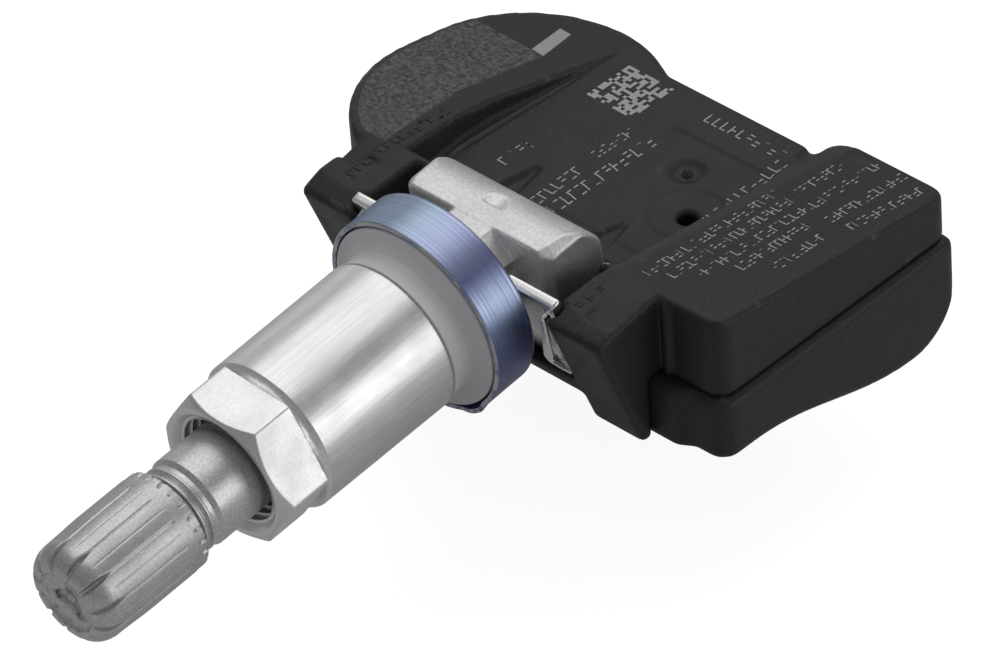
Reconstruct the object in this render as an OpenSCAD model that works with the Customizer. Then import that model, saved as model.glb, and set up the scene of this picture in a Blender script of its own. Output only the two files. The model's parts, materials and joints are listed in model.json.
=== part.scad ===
// Wheel pressure sensor with a clamp-in valve.
// Millimetres. The origin is the middle of the valve-hole seat, on the valve axis.
// -Y is the way out of the wheel, +Z is away from the rim well, and the housing floor is level.

/* [Crossbar and tilt] */
// Angle of the valve below the housing floor
rest_tilt = 5.4; // [3:0.2:18]
// Lean of the retaining plate and of the cradle front
lean = 20.5; // [17:0.5:25]
// Length of the crossbar
bar_len = 17; // [14:0.5:20]
// Radius of the crossbar barrel about the tilt axis
barrel_r = 5.24; // [4.6:0.02:6]
// Height of the crossbar's flat top above the valve axis
bar_top = 5.25; // [4.6:0.05:6]
// Distance from the tilt axis to the crossbar's front flat
bar_front = 1.8; // [1.4:0.1:2.2]
// Radius of the hub between crossbar and cup washer
hub_r = 4.45; // [3.8:0.05:5.2]
// Width of the hub's flat top
hub_top_w = 4.4; // [3:0.2:5]

/* [Valve stem] */
// Radius of the stem under the grommet and the nut
body_r = 5.25; // [5:0.05:5.4]
// Radius of the smooth stem
stem_r = 4.3; // [4:0.05:4.8]
// Radius of the cap thread
thread_r = 3.85; // [3.4:0.05:4.2]
// Distance from the tilt axis to the end of the nut thread
body_end = 29; // [26:0.5:31]
// Distance from the tilt axis to the mouth of the stem
stem_end = 49.2; // [46:0.2:56]
// Length of the cap thread at the end of the stem
cap_thread = 11.2; // [9:0.2:12]
// Radius of the air passage
air_r = 1.2; // [0.8:0.05:1.5]

/* [Cup washer and grommet] */
// Distance from the tilt axis to the back of the cup washer
washer_back = 5.45; // [5.2:0.05:6.5]
// Distance that the cup washer stands outside the nut's collar
washer_rim = 2.24; // [2:0.02:3]
// Depth of the cup washer
washer_depth = 4.6; // [3.8:0.1:5.5]
// Sheet thickness of the cup washer
washer_t = 0.5; // [0.4:0.05:0.6]
// Height of the grommet's shoulder in front of its flange
shoulder = 2.7; // [2:0.1:3.4]
// Thickness of the grommet neck, which fills the valve hole round the stem
neck_t = 0.5; // [0.4:0.05:0.75]

/* [Collar nut] */
// Wall of the nut's collar round its counterbore
collar_wall = 1.1; // [0.9:0.05:1.5]
// Length of the nut
nut_len = 20.5; // [18:0.25:22]
// Least wall between the nut's mouth and its flats
hex_wall = 0.5; // [0.4:0.05:1.2]
// Length of the hexagon
hex_len = 5; // [4:0.25:6]

/* [Cap] */
// Wall of the cap round its thread
cap_wall = 0.92; // [0.8:0.02:1.2]
// Gap between the smooth stem and the cap
cap_gap = 1.9; // [1.2:0.1:2.6]
// Distance that the cap stands past the mouth of the stem
cap_over = 2.8; // [2.4:0.1:3.6]
// Number of flutes on the cap
flutes = 12; // [8:1:16]

/* [Valve core] */
// Radius of the core's threaded head
core_head_r = 2.45; // [2.2:0.05:2.6]
// Radius of the core's barrel
core_r = 1.75; // [1.5:0.05:1.9]
// Length of the core body
core_len = 12; // [10:0.5:13]
// Travel of the core pin
pin_travel = 1; // [0.6:0.1:1.2]

/* [Housing] */
// Height of the housing floor
floor_z = -0.5; // [-0.8:0.1:0]
// Height of the seam between cover and base
seam_z = -5.3; // [-6:0.1:-5]
// Height of the sloping top above the tilt axis
top_z = 3.25; // [2.9:0.05:3.8]
// Fall of the top towards the back
top_slope = 7.1; // [5:0.1:8]
// Depth of the front of the base
base_front_z = -11.5; // [-13:0.25:-11]
// Depth of the lowest part of the base
base_low_z = -15.5; // [-17:0.25:-14.5]
// Distance from the tilt axis to the back of the floor
back_y = 28.3; // [28:0.1:31]
// Distance from the tilt axis to the back of the block
block_back_y = 31; // [30:0.25:33]
// Right side of the block
block_x = 24.3; // [22:0.25:27]
// Left side of the block
block_in_x = 10.6; // [10:0.1:12.5]
// Outer side of the cradle horns
horn_x = 17.5; // [16:0.25:19]
// Inner side of the cradle horns
gap_x = 11.3; // [10.8:0.1:12]
// Distance from the coin cell to the outside of the battery drum
drum_margin = 4.75; // [4:0.25:6]
// Wall of the housing
wall = 1.3; // [1:0.1:1.5]
// Step of the base outside the cover
ledge = 0.6; // [0.3:0.1:0.9]

/* [Retaining plate] */
// Thickness of the retaining plate
plate_t = 1.1; // [0.9:0.05:1.3]
// Half width of the slot in the plate
slot_half = 6; // [5.6:0.1:6.6]

/* [Electronics] */
// Radius of the coin cell
cell_r = 10; // [8:0.25:11.5]
// Height of the coin cell
cell_h = 5; // [3.2:0.2:5.2]
// Thickness of the circuit board
board_t = 1; // [0.8:0.1:1.2]

/* [Fits] */
// Radial play of the crossbar in its bed
bed_play = 0.1; // [0.05:0.01:0.1]
// Radial play of the nut on the stem
nut_play = 0.07; // [0.04:0.01:0.1]
// Clearance round fixed parts
fit = 0.05; // [0.02:0.01:0.08]

/* [Hidden] */
$fn = 64;
big = 60;

// Stations along the valve, measured from the tilt axis
smooth_end = stem_end - cap_thread;
seat_s = washer_back + washer_depth + 0.15;
nut_s = seat_s + shoulder;
nut_front = nut_s + nut_len;
hex_s = nut_front - hex_len;
cap_s = smooth_end + cap_gap;
cap_end = stem_end + cap_over;

// Nut and ring
neck_r = body_r + neck_t;
cavity_r = neck_r + 0.55;
collar_r = cavity_r + collar_wall;
ring_h = 1.2;
neck_len = 2.6;
ring_s = nut_s + neck_len + 0.1;
cavity_end = ring_s + ring_h + 0.1;
nut_bore = body_r + nut_play;
mouth_r = nut_bore + 0.68;
mouth_len = 0.9;
hex_flats = 2 * (mouth_r + hex_wall);
hex_r = hex_flats / sqrt(3);

// Cup washer and the flange inside it
washer_r = collar_r + washer_rim;
flange_r = washer_r - washer_t - 0.14;

// Hub and flare
flare_r = 3.2;
flare_s = washer_back - flare_r;

// Cap
cap_bore = thread_r + 0.08;
cap_r = cap_bore + cap_wall;
seal_h = 0.8;
seal_gap = 0.1;
cap_top_in = stem_end + seal_gap + seal_h;

// Core
core_top = stem_end - 0.5;
core_head = 4.2;
core_foot = core_top - core_len;
chamber_r = core_r + 0.1;
chamber_end = core_foot - pin_travel - 2.2;
pin_r = 0.42;
pin_collar_s = core_top - 5.2;
spring_wire = 0.16;
spring_r = 0.82;
core_bore = 1.1;
core_lip = 0.8;
core_seal_h = 1;

// Cradle, in the leaning frame that turns with lean about the tilt axis
plate_back = -2.8;
plate_front = plate_back - plate_t;
front_y = plate_front - 1.1;
facet_z = 3.9;
facet_back = -2.75;
lip_z = -5;
chin_z = -7.1;
plate_top = facet_z + 0.75;
plate_foot = chin_z + 0.9;
plate_half = gap_x + 0.55;
bed_r = barrel_r + bed_play;
bed_wall = 1.6;
pocket_half = gap_x - 0.1;
pocket_z = -4.5;
horn_z = lean_point(front_y, facet_z);
horn_back = -1;
recess = [14.4, -3.6];
bridge_y = 3.3;
bridge_t = 1;
bridge_x = bar_len / 2 + 1.2;
cradle_back = 0.2;
deck_edge = 5.9;

// Drum, rail beside it and belly of the base
cell_at = [-11.4, bed_r + bed_wall - 0.14 + cell_r];
drum_r = cell_r + drum_margin;
drum = cell_at + [0.8, -2.5];
drum2 = drum + [-2.3, 4];
drum2_r = drum_r - 2.6;
rail = [[-13.1, 3], [-13.7, 10], [-13.5, 14], [-11, 27]];
rail_left = -15.1;
patch_front = 2.45;
belly_r = 5.8;
belly = [5, max(block_back_y, drum2[1] + drum2_r + 0.55) + 0.2 - belly_r];
block_left = block_in_x + 0.8;

// Inside
room_front = 4.6;
roof_z = floor_z - wall;
cell_z = roof_z - 0.5 - cell_h;
board_z = cell_z - 0.45 - board_t;
board_top = board_z + board_t;
board_front = 8.6;
board_inset = wall + 0.5;
port_at = [8.8, 14.7];
coil_at = [18.6, 11.2];
crystal_at = [18, 18];
loop_at = [22, 14];
cap_rows = [22.2, 25];
cap_columns = [15, 17, 19, 21];
chip_h = 1.8;
port_r = 0.9;

black = [0.09, 0.09, 0.1];
cast = [0.78, 0.79, 0.8];
steel = [0.85, 0.86, 0.87];

function top_at(y) = top_z - y * tan(top_slope);
function flare_at(s) = hub_r + flare_r * (1 - cos(asin((s - flare_s) / flare_r)));
function lean_point(y, z) = [y * cos(lean) - z * sin(lean), y * sin(lean) + z * cos(lean)];

// Moves a shape from the tilt axis to the seat frame
module from_pivot() {
    translate([0, seat_s * cos(rest_tilt), seat_s * sin(rest_tilt)])
        children();
}

// Local z runs out along the valve, local y is its upper side
module on_valve() {
    from_pivot()
        rotate([90 + rest_tilt, 0, 0])
            children();
}

module turned(points) {
    rotate_extrude()
        polygon(points);
}

// Prism along X with an outline in Y and Z
module yz_prism(points, x0, x1) {
    translate([x0, 0, 0])
        rotate([90, 0, 90])
            linear_extrude(x1 - x0)
                polygon(points);
}

// Prism along X with an outline in distance along the valve and height
module sz_prism(points, x0, x1) {
    translate([x0, 0, 0])
        rotate([0, 90, 0])
            linear_extrude(x1 - x0)
                polygon([for (p = points) [-p[0], p[1]]]);
}

module in_lean() {
    rotate([lean, 0, 0])
        children();
}

module box(x, y, z) {
    translate([x[0], y[0], z[0]])
        cube([x[1] - x[0], y[1] - y[0], z[1] - z[0]]);
}

module rounded_plan(x0, y0, x1, y1, r) {
    translate([x0 + r, y0])
        square([x1 - x0 - 2 * r, y1 - y0]);
    translate([x0, y0 + r])
        square([x1 - x0, y1 - y0 - 2 * r]);
    for (x = [x0 + r, x1 - r])
        for (y = [y0 + r, y1 - r])
            translate([x, y])
                circle(r);
}

// Frame whose zero height is the sloping top of the housing
module under_top() {
    translate([0, 0, top_z])
        rotate([-top_slope, 0, 0])
            children();
}

// Plan of the housing, drawn in by the amount given
module plan(inset) {
    drum_plan(inset);
    block_plan(inset);
    translate([drum[0], room_front - wall + inset])
        square([block_in_x + 4 - drum[0], back_y - room_front + wall - 2 * inset]);
}

// Row of circles that shrinks from the drum's middle to its back
module drum_plan(inset) {
    steps = 4;
    for (i = [0:steps])
        translate(drum + (drum2 - drum) * i / steps)
            circle(drum_r - inset + (drum2_r - drum_r) * i / steps);
}

module block_plan(inset) {
    rounded_plan(block_left + inset, 1.7 + inset, block_x - inset, block_back_y - inset, 1.6 - inset * 0.4);
}

// Everything below the sloping top
module below_top() {
    yz_prism([[-big, top_at(-big)], [big, top_at(big)], [big, -big], [-big, -big]], -big, big);
}

// Room for the electronics, between both shells
module room(z0, z1) {
    difference() {
        translate([0, 0, z0])
            linear_extrude(z1 - z0)
                plan(wall);
        box([-13.6, horn_x + 1], [-big, room_front], [-big, big]);
        bed_shell(0);
    }
}

module bed_shell(play) {
    rotate([0, 90, 0])
        cylinder(r = bed_r + bed_wall + play, h = 2 * (pocket_half + bed_wall + play), center = true);
}

module cradle_outline() {
    front_top = lean_point(front_y, facet_z);
    facet_end = lean_point(facet_back, facet_z);
    chin = (base_front_z - front_y * sin(lean)) / cos(lean);
    foot = lean_point(front_y, chin);
    yz_prism([front_top, facet_end, [2.2, top_at(2.2)], [bridge_y, top_at(bridge_y)],
              [bridge_y, seam_z], [cradle_back, seam_z], [cradle_back, base_front_z], foot],
             -horn_x, horn_x);
}

// Hollows of the cradle: bed, pockets, throat for the hub and slot for the plate
module cradle_hollow() {
    rotate([0, 90, 0])
        cylinder(r = bed_r, h = 2 * bridge_x, center = true);
    box([-pocket_half, pocket_half], [-big, bridge_y - bridge_t], [0, big]);
    box([-pocket_half, pocket_half], [-3, bridge_y - bridge_t], [pocket_z, big]);
    box([-bridge_x, bridge_x], [0, bed_r - 0.1], [floor_z, big]);
    box([-5.5, 5.5], [0, deck_edge], [floor_z - 0.8, big]);
    in_lean() {
        box([-gap_x, gap_x], [-big, plate_back + fit], [lip_z, big]);
        box([-plate_half - fit, plate_half + fit], [plate_front - fit, plate_back + fit],
            [plate_foot - fit, big]);
        box([-gap_x - 0.3, gap_x + 0.3], [-big, 0], [-big, chin_z]);
        // Notch in the lip for the flare when the valve hangs at its lowest
        translate([0, plate_front, 0])
            rotate([90, 0, 0])
                cylinder(r = flare_at(-front_y) + 0.35, h = 3);
    }
}

// Bevelled outer edges of the horns, and the drop behind the left one
module horn_bevels() {
    for (side = [-1, 1])
        in_lean()
            translate([side * (horn_x - 2.3) - 0.8, 0, facet_z])
                rotate([0, side * 8, 0])
                    translate([side < 0 ? -5 : 0, front_y - 5, 0])
                        cube([5, 10.4, 6]);
    drum_facet();
}

// Smooth facet that slopes from the drum's patch down to the back of the left horn
module drum_facet() {
    yz_prism([[horn_back, top_at(patch_front) - 0.75], [patch_front, top_at(patch_front)], [patch_front, big],
              [horn_back, big]], -big, rail_left);
}

module floor_marks() {
    // Shallow square pocket of the floor
    box([-0.2, block_left - 0.1], [8.2, 22.9], [floor_z - 0.25, floor_z + 0.5]);
    // Gate dish
    translate([4.6, 19.3, floor_z + 2.6])
        sphere(3.4);
    // Ring round the pressure port
    translate([port_at[0] - 0.3, port_at[1] + 0.2, floor_z - 0.45])
        cylinder(r = 3.3, h = 3);
    translate([port_at[0], port_at[1], floor_z - 6])
        cylinder(r = port_r, h = 8);
    // Tapered scoops behind the crossbar
    for (x = [-5.6, 5.4])
        translate([x, deck_edge - 1, floor_z - 0.3])
            rotate([-86, 0, 0])
                cylinder(r1 = 1.3, r2 = 0.5, h = 6.4);
}

module housing_cover() {
    color(black)
        from_pivot()
            difference() {
                union() {
                    intersection() {
                        union() {
                            translate([0, 0, seam_z])
                                linear_extrude(big)
                                    intersection() {
                                        drum_plan(0);
                                        drum_side(0);
                                    }
                            translate([0, 0, seam_z])
                                linear_extrude(big)
                                    block_plan(0);
                        }
                        below_top();
                    }
                    translate([0, 0, seam_z])
                        linear_extrude(floor_z - seam_z)
                            plan(0);
                    cradle_outline();
                    intersection() {
                        bed_shell(0);
                        box([-big, big], [0, big], [-big, floor_z]);
                    }
                    // Half-round rib in the corner between horn and block
                    translate([horn_x + 0.75, 1.75, seam_z])
                        cylinder(r = 0.55, h = top_z - 0.6 - seam_z);
                }
                intersection() {
                    room(seam_z - 5, floor_z - wall);
                    box([-big, big], [-big, big], [seam_z, big]);
                }
                cover_rooms();
                cradle_hollow();
                floor_marks();
                horn_bevels();
                horn_recess();
                block_bank();
            }
}

// Side of the rail where the drum's top ends, moved left by the amount given
module drum_side(inset) {
    polygon([[-big, -big], [rail[0][0] - inset, -big], for (p = rail) [p[0] - inset, p[1]],
             [rail[3][0] - inset, big], [-big, big]]);
}

// Bank along the left edge of the block's top
module block_bank() {
    under_top()
        translate([block_left + 1.4, 0, 0])
            rotate([0, -14, -2])
                translate([-3, -big, 0])
                    cube([3, 2 * big, 3]);
}

// Rooms under the raised drum and block
module cover_rooms() {
    intersection() {
        room(seam_z, big);
        under_top()
            box([-big, big], [-big, big], [-big, -wall]);
        union() {
            translate([0, 0, -big])
                linear_extrude(2 * big)
                    drum_side(wall);
            box([block_left + wall, big], [-big, big], [-big, big]);
        }
    }
}

// Sloping recess on top of the right horn
module horn_recess() {
    translate([recess[0], recess[1], horn_z[1] + 0.4])
        rotate([8.4, 0, 0])
            cube([big, 5, 3]);
}

// Side profile of the base: the underside eases down to the belly and turns up at the back
module base_profile(low) {
    steps = 10;
    drop = base_front_z - base_low_z;
    turn_z = base_low_z + belly_r + low;
    yz_prism([[cradle_back, seam_z], [cradle_back, base_front_z + low],
              for (i = [0:steps]) [belly[0] + (belly[1] - belly[0]) * i / steps,
                                   base_front_z + low - drop * (1 - cos(180 * i / steps)) / 2],
              for (a = [9:9:90]) [belly[1] + belly_r * sin(a), turn_z - belly_r * cos(a)],
              [belly[1] + belly_r, seam_z]], -big, big);
}

module housing_base() {
    color(black)
        from_pivot()
            difference() {
                intersection() {
                    translate([0, 0, base_low_z - 1])
                        linear_extrude(seam_z - base_low_z + 1)
                            union() {
                                plan(-ledge);
                                polygon([[-horn_x, cradle_back + fit], [20, cradle_back + fit],
                                         [block_x + ledge, 3.1], [block_x + ledge, 12], [-20, 12]]);
                            }
                    base_profile(0);
                }
                intersection() {
                    room(base_low_z, seam_z + 1);
                    base_profile(wall);
                    box([-big, big], [room_front + 0.4, big], [-big, big]);
                }
                bed_shell(fit);
                box([-gap_x - 0.3, gap_x + 0.3], [-1, 1.6], [-big, base_front_z + 1.3]);
                box([-horn_x - fit, horn_x + fit], [-1, bridge_y + fit], [seam_z - 0.01, big]);
            }
}

// Forked plate in the cradle's slot, with a bowed spring leaf beside each fork leg
module retaining_plate() {
    leaf = 0.4;
    color(steel)
        from_pivot()
            in_lean() {
                difference() {
                    box([-plate_half, plate_half], [plate_front, plate_back], [plate_foot, plate_top]);
                    rotate([90, 0, 0])
                        translate([0, 0.8, -big])
                            cylinder(r = slot_half, h = 2 * big);
                    box([-slot_half, slot_half], [-big, big], [0.8, big]);
                }
                for (side = [-1, 1])
                    translate([0, plate_front, 0])
                        rotate([90, 0, 0])
                            linear_extrude(0.9)
                                scale([side, 1])
                                    leaf_outline(leaf);
            }
}

// Outline of the bowed leaf in the plane of the plate
module leaf_outline(t) {
    top = [gap_x - 0.6, facet_z - 0.2];
    knee = [gap_x - 3.2, lip_z + 1.2];
    polygon([top, knee, [knee[0] + 0.3, lip_z + 0.3], [gap_x - 0.15, lip_z + 0.1],
             [gap_x - 0.15, lip_z + 0.1 + t], [knee[0] + 0.5 + t, lip_z + 0.4 + t],
             [knee[0] + 1.3, knee[1] + 0.3], [top[0] + 0.45, top[1] - 0.3]]);
}

// Crossbar, hub and stem, cast and turned in one piece
module valve_stem() {
    color(cast)
        on_valve()
            difference() {
                union() {
                    crossbar();
                    translate([0, 0, -0.5])
                        linear_extrude(flare_s + 2.6)
                            polygon([[-hub_top_w / 2, bar_top - 0.05], [hub_top_w / 2, bar_top - 0.05],
                                     [hub_r - 0.1, bar_top - 2.6], [hub_r - 0.6, 0], [0.6 - hub_r, 0],
                                     [0.1 - hub_r, bar_top - 2.6]]);
                    turned([[0, 0], [hub_r, 0], [hub_r, flare_s],
                            for (a = [0:10:80]) [hub_r + flare_r * (1 - cos(a)), flare_s + flare_r * sin(a)],
                            [hub_r + flare_r, washer_back], [body_r, washer_back], [body_r, body_end - 0.4],
                            [body_r - 0.4, body_end], [stem_r, body_end], [stem_r, smooth_end - 0.3],
                            [thread_r + 0.1, smooth_end], [thread_r + 0.1, smooth_end + 0.5],
                            [thread_r - 0.15, smooth_end + 0.65], [thread_r - 0.15, smooth_end + 0.9],
                            [thread_r + 0.1, smooth_end + 1.05], [thread_r, smooth_end + 1.5],
                            [thread_r, stem_end - 0.4], [thread_r - 0.4, stem_end], [0, stem_end]]);
                }
                stem_bores();
            }
}

module stem_bores() {
    translate([0, 0, -big])
        cylinder(r = air_r, h = 2 * big);
    translate([0, 0, chamber_end])
        cylinder(r = chamber_r, h = big);
    translate([0, 0, core_top - core_head])
        cylinder(r1 = chamber_r, r2 = core_head_r + fit, h = 0.7);
    translate([0, 0, core_top - core_head + 0.7])
        cylinder(r = core_head_r + fit, h = big);
}

module crossbar() {
    bevel = 0.8;
    half = bar_len / 2;
    difference() {
        intersection() {
            union() {
                rotate([0, 90, 0])
                    cylinder(r = barrel_r, h = bar_len, center = true);
                sz_prism([[bar_front, 0], [bar_front, bar_top], [-0.1, bar_top], [-2.45, bar_top - 0.75],
                          [-4.1, 3.1], [0, 0]], -half, half);
            }
            // Front flat, and the lower slope that clears the plate when the valve is raised
            sz_prism([[bar_front, big], [bar_front, -2.1], [bar_front - 1.6, -6], [-big, -6], [-big, big]],
                     -big, big);
        }
        for (side = [-1, 1])
            for (turn = [[0, bar_top], [18, bar_top - 0.05], [90, -bar_front], [-90, barrel_r]])
                bar_bevel(side, half, bevel, turn);
        // Scallop across the ridge of the crossbar
        translate([0.1, bar_top + 1.7, -big])
            cylinder(r = 2.2, h = big + 0.3);
    }
}

// Half space that bevels one edge of a crossbar end
module bar_bevel(side, half, bevel, turn) {
    rotate([turn[0], 0, 0])
        translate([side * half, turn[0] == 90 ? bar_front : turn[1], 0])
            rotate([0, 0, side * -45])
                translate([-big / 2, -bevel / sqrt(2), -big / 2])
                    cube([big, big, big]);
}

module cup_washer() {
    color([0.42, 0.47, 0.68])
        on_valve()
            turned([[body_r + fit, washer_back], [washer_r - 0.35, washer_back],
                    [washer_r, washer_back + 0.35], [washer_r, washer_back + washer_depth],
                    [washer_r - washer_t, washer_back + washer_depth],
                    [washer_r - washer_t, washer_back + washer_t + 0.4],
                    [washer_r - washer_t - 0.4, washer_back + washer_t],
                    [body_r + fit, washer_back + washer_t]]);
}

module grommet() {
    color([0.6, 0.61, 0.63])
        on_valve()
            turned([[body_r + fit, washer_back + washer_t], [flange_r - 0.9, washer_back + washer_t],
                    [flange_r, washer_back + washer_t + 1], [flange_r, seat_s - 0.3],
                    [flange_r - 0.3, seat_s], [flange_r - 1, seat_s],
                    for (a = [0:15:90]) [collar_r + (flange_r - 1 - collar_r) * (1 - sin(a)),
                                         nut_s - (nut_s - seat_s) * cos(a)],
                    [neck_r, nut_s], [neck_r, nut_s + neck_len], [body_r + fit, nut_s + neck_len]]);
}

module slip_ring() {
    color([0.93, 0.92, 0.88])
        on_valve()
            translate([0, 0, ring_s])
                difference() {
                    cylinder(r = cavity_r - 0.1, h = ring_h);
                    translate([0, 0, -1])
                        cylinder(r = nut_bore, h = ring_h + 2);
                }
}

module collar_nut() {
    step_r = collar_r - 0.1;
    color([0.83, 0.84, 0.85])
        on_valve()
            difference() {
                union() {
                    turned([[0, nut_s], [collar_r - 0.25, nut_s], [collar_r, nut_s + 0.25],
                            [step_r, hex_s - 0.9], [hex_flats / 2 - 0.05, hex_s], [0, hex_s]]);
                    intersection() {
                        translate([0, 0, hex_s])
                            rotate([0, 0, -3.7])
                                cylinder(r = hex_r, h = hex_len, $fn = 6);
                        turned([[0, hex_s - 1], [hex_r + 0.15, hex_s - 1], [hex_r + 0.15, nut_front - 0.9],
                                [hex_flats / 2 - 0.1, nut_front], [0, nut_front]]);
                    }
                }
                turned([[0, nut_s - 1], [cavity_r, nut_s - 1], [cavity_r, cavity_end],
                        [nut_bore, cavity_end], [nut_bore, nut_front - mouth_len], [mouth_r, nut_front],
                        [mouth_r, nut_front + 1], [0, nut_front + 1]]);
            }
}

module valve_cap() {
    groove_r = 0.5;
    groove_s = cap_s + 2.2;
    groove_out = 0.1;
    groove_in = 0.7;
    end_hollow = 0.7;
    color([0.5, 0.51, 0.53])
        on_valve()
            difference() {
                turned([[0, cap_s], [cap_r - 0.25, cap_s], [cap_r - 0.1, cap_s + 0.8], [cap_r, cap_s + 1.1],
                        [cap_r - 0.05, cap_end - 1.9], [cap_r - 0.25, cap_end - 1.2],
                        [cap_r - 0.65, cap_end - 0.6], [cap_r - 1.2, cap_end - 0.2], [cap_r - 1.8, cap_end],
                        [0, cap_end]]);
                turned([[0, cap_s - 1], [cap_bore + 0.2, cap_s - 1], [cap_bore, cap_s + 0.5],
                        [cap_bore, cap_top_in], [0, cap_top_in]]);
                // Grooves between the ribs, deepest at the shoulder
                for (i = [0:flutes - 1])
                    rotate([0, 0, (i + 0.5) * 360 / flutes])
                        translate([cap_r + groove_r - groove_out, 0, groove_s])
                            rotate([0, -atan((groove_in - groove_out) / (cap_end - groove_s)), 0])
                                cylinder(r = groove_r, h = cap_end - cap_s);
                // Square notches round the open rim
                for (i = [0:2 * flutes - 1])
                    rotate([0, 0, i * 180 / flutes])
                        translate([cap_r - 0.22, -0.16, cap_s - 0.5])
                            cube([1, 0.32, 1.2]);
                // Hollow of the end face, round a small centre boss
                translate([0, 0, cap_end - end_hollow])
                    difference() {
                        cylinder(r1 = 1.4, r2 = 1.4 + end_hollow, h = end_hollow + 0.01);
                        cylinder(r = 0.5, h = end_hollow - 0.15);
                        for (a = [30:120:270])
                            rotate([0, 0, a])
                                translate([0, -0.2, -1])
                                    cube([3, 0.4, end_hollow + 0.85]);
                    }
            }
}

module cap_seal() {
    color([0.15, 0.15, 0.16])
        on_valve()
            translate([0, 0, stem_end + seal_gap])
                difference() {
                    cylinder(r = cap_bore - 0.05, h = seal_h);
                    translate([0, 0, -1])
                        cylinder(r = 1.3, h = 1.5);
                }
}

module core_body() {
    lip_h = 0.7;
    color([0.8, 0.7, 0.45])
        on_valve()
            turned([[core_lip, core_foot], [core_r - 0.2, core_foot], [core_r - 0.2, core_foot + 3],
                    [core_r - 0.2, core_top - core_head - 1.6], [core_r - 0.2, core_top - core_head],
                    [core_head_r, core_top - core_head + 0.7], [core_head_r, core_top], [core_bore, core_top],
                    [core_bore, core_foot + lip_h], [core_lip, core_foot + lip_h]]);
}

module core_gasket() {
    color([0.75, 0.2, 0.15])
        on_valve()
            translate([0, 0, core_top - core_head - 2.4])
                difference() {
                    cylinder(r = core_r + 0.05, h = 1.8);
                    translate([0, 0, -1])
                        cylinder(r = core_r - 0.2, h = 4);
                }
}

module core_pin() {
    color([0.8, 0.7, 0.45])
        on_valve()
            turned([[0, core_foot - core_seal_h - 0.5], [pin_r + 0.35, core_foot - core_seal_h - 0.5],
                    [pin_r + 0.35, core_foot - core_seal_h], [pin_r, core_foot - core_seal_h],
                    [pin_r, pin_collar_s], [core_bore - 0.12, pin_collar_s],
                    [core_bore - 0.12, pin_collar_s + 0.5],
                    [pin_r, pin_collar_s + 0.5], [pin_r, core_top + 0.1], [0, core_top + 0.1]]);
}

module core_seal() {
    color([0.12, 0.12, 0.13])
        on_valve()
            translate([0, 0, core_foot - core_seal_h])
                difference() {
                    cylinder(r = 1.3, h = core_seal_h);
                    translate([0, 0, -1])
                        cylinder(r = pin_r, h = core_seal_h + 2);
                }
}

// Points of the spring's wire section and path
function coil_point(turns, pitch, t, a) =
    let (r = spring_r + spring_wire * cos(a), phi = 360 * turns * t)
    [r * cos(phi), r * sin(phi), pitch * turns * t + spring_wire * sin(a)];

module core_spring() {
    turns = 5;
    sides = 6;
    steps = 12 * turns;
    foot = core_foot + 0.7 + spring_wire + 0.04;
    pitch = (pin_collar_s - spring_wire - 0.04 - foot) / turns;
    points = [for (i = [0:steps]) for (k = [0:sides - 1])
        coil_point(turns, pitch, i / steps, k * 360 / sides)];
    rings = [for (i = [0:steps - 1]) for (k = [0:sides - 1])
        [i * sides + k, i * sides + (k + 1) % sides, (i + 1) * sides + (k + 1) % sides, (i + 1) * sides + k]];
    ends = [[for (k = [0:sides - 1]) sides - 1 - k], [for (k = [0:sides - 1]) steps * sides + k]];
    color(steel)
        on_valve()
            translate([0, 0, foot])
                polyhedron(points, concat(rings, ends));
}

module circuit_board() {
    color([0.1, 0.4, 0.2])
        from_pivot()
            difference() {
                translate([0, 0, board_z])
                    linear_extrude(board_t)
                        plan(board_inset);
                box([-big, big], [-big, board_front], [-big, big]);
            }
}

module coin_cell() {
    color(steel)
        from_pivot()
            translate([cell_at[0], cell_at[1], cell_z])
                turned([[0, 0], [cell_r - 1.4, 0], [cell_r - 1.4, 0.35], [cell_r - 0.3, 0.35], [cell_r, 0.65],
                        [cell_r, cell_h - 0.3], [cell_r - 0.3, cell_h], [0, cell_h]]);
}

// Contact strip over the cell, down to the board
module upper_tab() {
    x = cell_at[0] + cell_r + 0.4;
    strip = [cell_at[1] - 2, cell_at[1] + 2];
    cell_top = cell_z + cell_h;
    color(steel)
        from_pivot()
            union() {
                box([cell_at[0] - 4, x + 0.2], strip, [cell_top, cell_top + 0.2]);
                box([x, x + 0.2], strip, [board_top, cell_top + 0.2]);
            }
}

// Contact strip between the cell and the board
module lower_tab() {
    color(steel)
        from_pivot()
            box([cell_at[0] - 5, cell_at[0] + 5], [cell_at[1] - 2.5, cell_at[1] + 2.5], [board_top, cell_z]);
}

module on_board(at) {
    from_pivot()
        translate([at[0], at[1], board_top])
            children();
}

module sensor_chip() {
    color([0.13, 0.13, 0.14])
        on_board(port_at)
            difference() {
                translate([-3.5, -3.5, 0])
                    cube([7, 7, chip_h]);
                translate([0, 0, chip_h - 0.8])
                    cylinder(r = port_r, h = 2);
            }
}

// Soft tube between the pressure port and the chip
module port_seal() {
    tube_h = roof_z - board_top - chip_h - fit;
    color([0.3, 0.32, 0.35])
        on_board(port_at)
            translate([0, 0, chip_h])
                difference() {
                    cylinder(r = port_r + 0.8, h = tube_h);
                    translate([0, 0, -1])
                        cylinder(r = port_r, h = big);
                }
}

module trigger_coil() {
    color([0.7, 0.4, 0.2])
        on_board(coil_at)
            union() {
                translate([-3, -1.4, 0])
                    cube([6, 2.8, 2.6]);
                for (x = [-3.8, 3])
                    translate([x, -1.7, 0])
                        cube([0.8, 3.4, 3]);
            }
}

module crystal() {
    color([0.8, 0.8, 0.78])
        on_board(crystal_at)
            translate([-1.6, -1.25, 0])
                cube([3.2, 2.5, 0.8]);
}

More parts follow.
